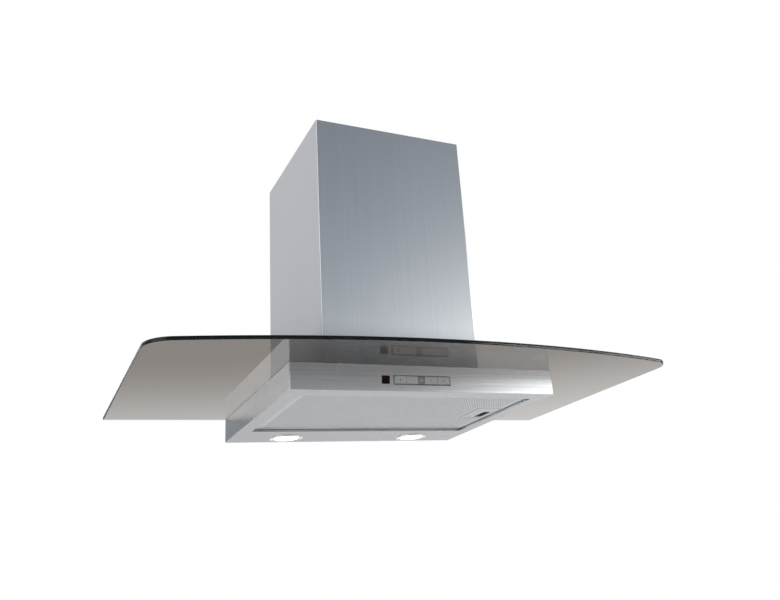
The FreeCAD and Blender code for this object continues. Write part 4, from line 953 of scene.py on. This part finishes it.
class HOOD_OT_spring(bpy.types.Operator):
    """Make the bowed leaf spring of the filter latch"""
    bl_idname = "hood.spring"
    bl_label = "Latch spring"

    def execute(self, context):
        leaf = context.scene.hood_filter.spring_leaf
        low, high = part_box("latch_spring")
        middle = (low.y + high.y) / 2
        arcs = []
        for inset in (0.0, leaf):
            half = (high.y - low.y) / 2 - inset
            depth = high.x - inset - low.x
            radius = (half ** 2 + depth ** 2) / (2 * depth)
            turn = math.atan2(half, radius - depth)
            arcs.append(arc((high.x - inset - radius, middle), radius, -turn, turn, 32))
        flat, triangles = flat_shape([np.concatenate([arcs[0], arcs[1][::-1]])])
        points, faces = thick_plate(flat, [triangles], low.z, high.z)
        spring = add_piece("latch_leaf_spring", points, faces, None,
                           finish("bright_steel"))
        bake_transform(spring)
        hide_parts("latch_spring")
        return {"FINISHED"}


class HOOD_OT_lamps(bpy.types.Operator):
    """Make the ring and the ribbed lens of each spotlight"""
    bl_idname = "hood.lamps"
    bl_label = "Lamps"

    def execute(self, context):
        settings = context.scene.hood_lamps
        rim_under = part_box("rim_panel")[0].z
        curve = settings.ring_rounding
        turn = np.linspace(0, math.pi / 2, 5)
        bow = np.column_stack([np.sin(turn), 1 - np.cos(turn)]) * curve
        for side in ("left", "right"):
            low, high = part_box("lamp_ring_" + side)
            lens_low, lens_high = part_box("lamp_lens_" + side)
            centre = ((low.x + high.x) / 2, (low.y + high.y) / 2)
            outer = (high.x - low.x) / 2
            reach = (lens_high.x - lens_low.x) / 2
            inner = reach + LENS_GAP
            neck = inner + RING_WALL
            mouth = np.array(RING_MOUTH) + (inner, low.z)
            profile = np.concatenate([
                mouth[:1], bow + (outer - curve, low.z),
                [(outer, rim_under), (neck, rim_under), (neck, high.z), (inner, high.z)],
                mouth[:0:-1]])
            points, faces = ring_solid(profile[:, 0], profile[:, 1], centre, LAMP_SEGMENTS)
            ring = add_piece("lamp_rim_" + side, points, faces, "root",
                             finish("lamp_chrome"))
            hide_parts("lamp_ring_" + side)
            count = settings.rib_rings * CIRCLES_PER_RIB
            radius = np.linspace(reach / count, reach, count)
            ribs = 0.5 - 0.5 * np.cos(2 * math.pi * settings.rib_rings * radius / reach)
            crown = LENS_CROWN * (1 - (radius / reach) ** 2)
            lower = lens_low.z + crown + settings.rib_height * ribs
            points, faces = disc_solid(radius, lower, np.full(count, lens_high.z), centre,
                                       LAMP_SEGMENTS)
            lens = add_piece("lamp_glass_" + side, points, faces, "root",
                             finish("lamp_lens_glass"), sharp=50.0)
            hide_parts("lamp_lens_" + side)
        return {"FINISHED"}


def bar(width, height, centre=(0.0, 0.0)):
    """A rectangle about a centre, anticlockwise."""
    x, y = width / 2, height / 2
    return np.array([(-x, -y), (x, -y), (x, y), (-x, y)]) + np.array(centre)


def cross(size, stroke):
    """The twelve corners of an upright cross, anticlockwise."""
    a, b = size / 2, stroke / 2
    return np.array([(-b, -a), (b, -a), (b, -b), (a, -b), (a, b), (b, b),
                     (b, a), (-b, a), (-b, b), (-a, b), (-a, -b), (-b, -b)])


def fan_blades(size):
    """Three leaves round a hub.

    With s the share of a leaf's length, its two edges run at a radius of 0.22 + 0.78 s times
    half the size, at angles of 0.9 s plus and minus 0.55 times the root of sin(pi s).
    """
    share = np.linspace(0, 1, 12)
    radius = size / 2 * (0.22 + 0.78 * share)
    swing = 0.9 * share
    # The small term keeps a narrow tip, so that the outline doesn't meet itself
    spread = 0.55 * np.sqrt(np.sin(math.pi * share) + 1e-6)
    radii = np.concatenate([radius, radius[1:-1][::-1]])
    leaves = []
    for blade in range(3):
        start = blade * 2 * math.pi / 3 + 0.4
        angles = np.concatenate([start + swing - spread,
                                 (start + swing + spread)[1:-1][::-1]])
        leaves.append(np.column_stack([radii * np.cos(angles), radii * np.sin(angles)]))
    return leaves


def sign_loops(name, size, stroke):
    """The outlines of one key's sign in the key's plane, in shares of half its size."""
    half = size / 2
    if name == "key_light":
        return [circle((0.0, half * 0.25), half * 0.72, 28),
                bar(half * 0.75, stroke * 0.8, (0.0, -half * 0.68)),
                bar(half * 0.5, stroke * 0.6, (0.0, -half * 0.98))]
    if name == "key_minus":
        return [bar(size * 0.8, stroke)]
    if name == "key_fan":
        return fan_blades(size) + [circle((0.0, 0.0), half * 0.14, 12)]
    if name == "key_plus":
        return [cross(size * 0.8, stroke)]
    return [circle((0.0, 0.0), half, 32), circle((0.0, 0.0), half - stroke, 32),
            bar(stroke * 0.7, half * 0.55, (0.0, half * 0.22)),
            bar(half * 0.35, stroke * 0.7, (half * 0.22, -stroke * 0.55))]


class HOOD_OT_keys(bpy.types.Operator):
    """Print a plain sign on each key"""
    bl_idname = "hood.keys"
    bl_label = "Key signs"

    def execute(self, context):
        settings = context.scene.hood_keys
        key_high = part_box("key_bezel")[1].z
        for name in KEY_NODES:
            low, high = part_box(name)
            centre = ((low.x + high.x) / 2, (low.z + high.z) / 2)
            size = min(settings.sign_size, (key_high - low.z) * SIGN_SHARE)
            flat, triangles = flat_shape(sign_loops(name, size, settings.stroke))
            points, faces = thick_plate(flat, [triangles], -FACE_CLEARANCE, settings.print_height)
            turned = np.column_stack([points[:, 0] + centre[0], low.y - points[:, 2],
                                      points[:, 1] + centre[1]])
            ink = "pale_ink" if name == "key_fan" else "sign_ink"
            add_piece("sign_" + name[4:], turned, faces, name, finish(ink))
        return {"FINISHED"}


def dome_light(tree):
    """The room as shiny surfaces see it, by the direction of the ray.

    Angles are in degrees: azimuth from the front towards the right, rise from the horizon.
    A low soft panel stands to the front right, a plain one to the left, and a low strip
    behind. The front is cool, dimmer higher up and darkest below the horizon. The back is
    dark near the horizon and white further down.
    """
    panel_light = (4.6, 4.6, 4.55)
    left_light = (1.5, 1.5, 1.5)
    strip_light = (1.9, 1.9, 1.9)
    front_low, front_high = (0.44, 0.49, 0.53), (0.20, 0.235, 0.28)
    front_floor = (0.09, 0.12, 0.14)
    back_low, back_high = (0.20, 0.22, 0.24), (0.72, 0.73, 0.75)
    place = add_node(tree, "ShaderNodeTexCoord").outputs["Generated"]
    x, y, z = add_node(tree, "ShaderNodeSeparateXYZ", {0: place}).outputs
    azimuth = calculate(tree, "ARCTAN2", x, calculate(tree, "MULTIPLY", y, -1.0))
    rise = calculate(tree, "ARCSINE", z)

    def edge(angle, start, end, low=0.0, high=1.0):
        return ramp(tree, angle, math.radians(start), math.radians(end), low, high)

    def overlap(*masks):
        product = masks[0]
        for mask in masks[1:]:
            product = calculate(tree, "MULTIPLY", product, mask)
        return product

    panel = overlap(edge(azimuth, 26, 37), edge(azimuth, 75, 100, 1.0, 0.0),
                    edge(rise, 11, 21, 1.0, 0.03), edge(rise, -8, -2))
    left = overlap(edge(azimuth, -35, -50), edge(azimuth, -85, -105, 1.0, 0.0))
    strip = overlap(edge(azimuth, -170, -164), edge(azimuth, -150, -140, 1.0, 0.0),
                    edge(rise, -6, -2, 1.0, 0.0))
    front = blend_colours(tree, edge(rise, 5, 42), front_low, front_high)
    front = blend_colours(tree, edge(rise, -10, 0), front_floor, front)
    front = blend_colours(tree, panel, front, panel_light)
    back = blend_colours(tree, edge(rise, 10, 18), back_low, back_high)
    back = blend_colours(tree, edge(rise, -9, -3), edge(rise, -16, -10, 0.32, 1.25), back)
    back = blend_colours(tree, strip, back, strip_light)
    room = blend_colours(tree, ramp(tree, y, -0.15, 0.25), front, back)
    return blend_colours(tree, left, room, left_light)


class HOOD_OT_stage(bpy.types.Operator):
    """Make the floor, the room light, a soft lamp and the camera"""
    bl_idname = "hood.stage"
    bl_label = "Studio"

    def execute(self, context):
        settings = context.scene.hood_stage
        self.floor(settings)
        self.room(context, settings)
        self.lamp()
        self.camera(context, settings)
        context.scene.view_settings.view_transform = "Standard"
        return {"FINISHED"}

    def floor(self, settings):
        """A flat floor of pale paint that turns to white away from its middle."""
        size = settings.floor_size
        points = np.column_stack([bar(size, size), np.full(4, settings.floor_level)])
        mesh = bpy.data.meshes.new("studio_floor")
        mesh.from_pydata(points.tolist(), [], [(0, 1, 2, 3)])
        floor = add_object("studio_floor", mesh)
        material, tree, shader, _ = start_material("floor_paint")
        base = list(settings.floor_colour)
        paint = blend_colours(tree, grain(tree, 40.0)["Grain"], [c * 0.985 for c in base], base)
        away = add_node(tree, "ShaderNodeVectorMath", {0: object_place(tree)}, operation="LENGTH")
        far = ramp(tree, away.outputs["Value"], *FLOOR_FADE, kind="LINEAR")
        fill(tree, shader, {"Base Color": blend_colours(tree, far, paint, FLOOR_FAR),
                            "Roughness": 0.9, "Specular IOR Level": 0.1})
        mesh.materials.append(material)

    def room(self, context, settings):
        """White to the camera and through glass, a dome to shiny surfaces, even to matt ones."""
        world = bpy.data.worlds.new("studio_room")
        world.use_nodes = True
        tree = world.node_tree
        tree.nodes.clear()
        ray = add_node(tree, "ShaderNodeLightPath").outputs
        even = settings.soft_light
        colour = blend_colours(tree, ray["Is Glossy Ray"], (even, even, even * 1.01),
                               dome_light(tree))
        seen = calculate(tree, "MAXIMUM", ray["Is Camera Ray"], ray["Is Transmission Ray"])
        colour = blend_colours(tree, seen, colour, (1.0, 1.0, 1.0))
        background = add_node(tree, "ShaderNodeBackground", {"Color": colour, "Strength": 1.0})
        add_node(tree, "ShaderNodeOutputWorld", {"Surface": background.outputs[0]})
        context.scene.world = world

    def lamp(self):
        """One large soft lamp, high and to the front right, for gentle shadows."""
        data = bpy.data.lights.new("soft_lamp", "AREA")
        data.shape = "DISK"
        data.size = LAMP_WIDTH
        data.energy = LAMP_POWER
        lamp = add_object("soft_lamp", data)
        place = Vector(LAMP_PLACE)
        lamp.matrix_world = (Matrix.Translation(place)
                             @ place.to_track_quat("Z", "Y").to_matrix().to_4x4())
        lamp.visible_glossy = False

    def camera(self, context, settings):
        """The camera looks along its yaw and pitch, turned by its roll about that line."""
        yaw, pitch, roll = settings.camera_turn
        forward = Vector((math.sin(yaw) * math.cos(pitch), math.cos(yaw) * math.cos(pitch),
                          math.sin(pitch)))
        right = Vector((math.cos(yaw), -math.sin(yaw), 0.0))
        down = forward.cross(right)
        side = right * math.cos(roll) + down * math.sin(roll)
        drop = -right * math.sin(roll) + down * math.cos(roll)
        turn = Matrix((side, -drop, -forward)).transposed().to_4x4()
        data = bpy.data.cameras.new("photo_camera")
        data.lens = settings.camera_lens
        data.sensor_width = SENSOR_WIDTH
        data.shift_x, data.shift_y = settings.camera_shift
        data.clip_end = 100.0
        camera = add_object("photo_camera", data)
        camera.matrix_world = Matrix.Translation(Vector(settings.camera_place)) @ turn
        context.scene.camera = camera


STEPS = (HOOD_OT_finishes, HOOD_OT_stage, HOOD_OT_glass, HOOD_OT_filter, HOOD_OT_spring,
         HOOD_OT_lamps, HOOD_OT_keys)


class HOOD_PT_panel(bpy.types.Panel):
    """Lists the steps that make the hood"""
    bl_idname = "HOOD_PT_panel"
    bl_label = "Range hood"
    bl_space_type = "VIEW_3D"
    bl_region_type = "UI"
    bl_category = "Hood"

    def draw(self, context):
        for step in STEPS:
            self.layout.operator(step.bl_idname)
        for key, group in SETTINGS.items():
            box = self.layout.box()
            box.label(text=group.__doc__)
            for name in group.__annotations__:
                box.prop(getattr(context.scene, key), name)


def register():
    """Register the settings, the operators and the panel."""
    for key, group in SETTINGS.items():
        bpy.utils.register_class(group)
        setattr(bpy.types.Scene, key, PointerProperty(type=group))
    for step in STEPS + (HOOD_PT_panel,):
        bpy.utils.register_class(step)


def unregister():
    """Take them away again."""
    for step in reversed(STEPS + (HOOD_PT_panel,)):
        bpy.utils.unregister_class(step)
    for key, group in reversed(SETTINGS.items()):
        delattr(bpy.types.Scene, key)
        bpy.utils.unregister_class(group)


def main():
    """Make everything in order."""
    register()
    for step in STEPS:
        family, action = step.bl_idname.split(".")
        getattr(getattr(bpy.ops, family), action)()


if __name__ == "__main__":
    main()
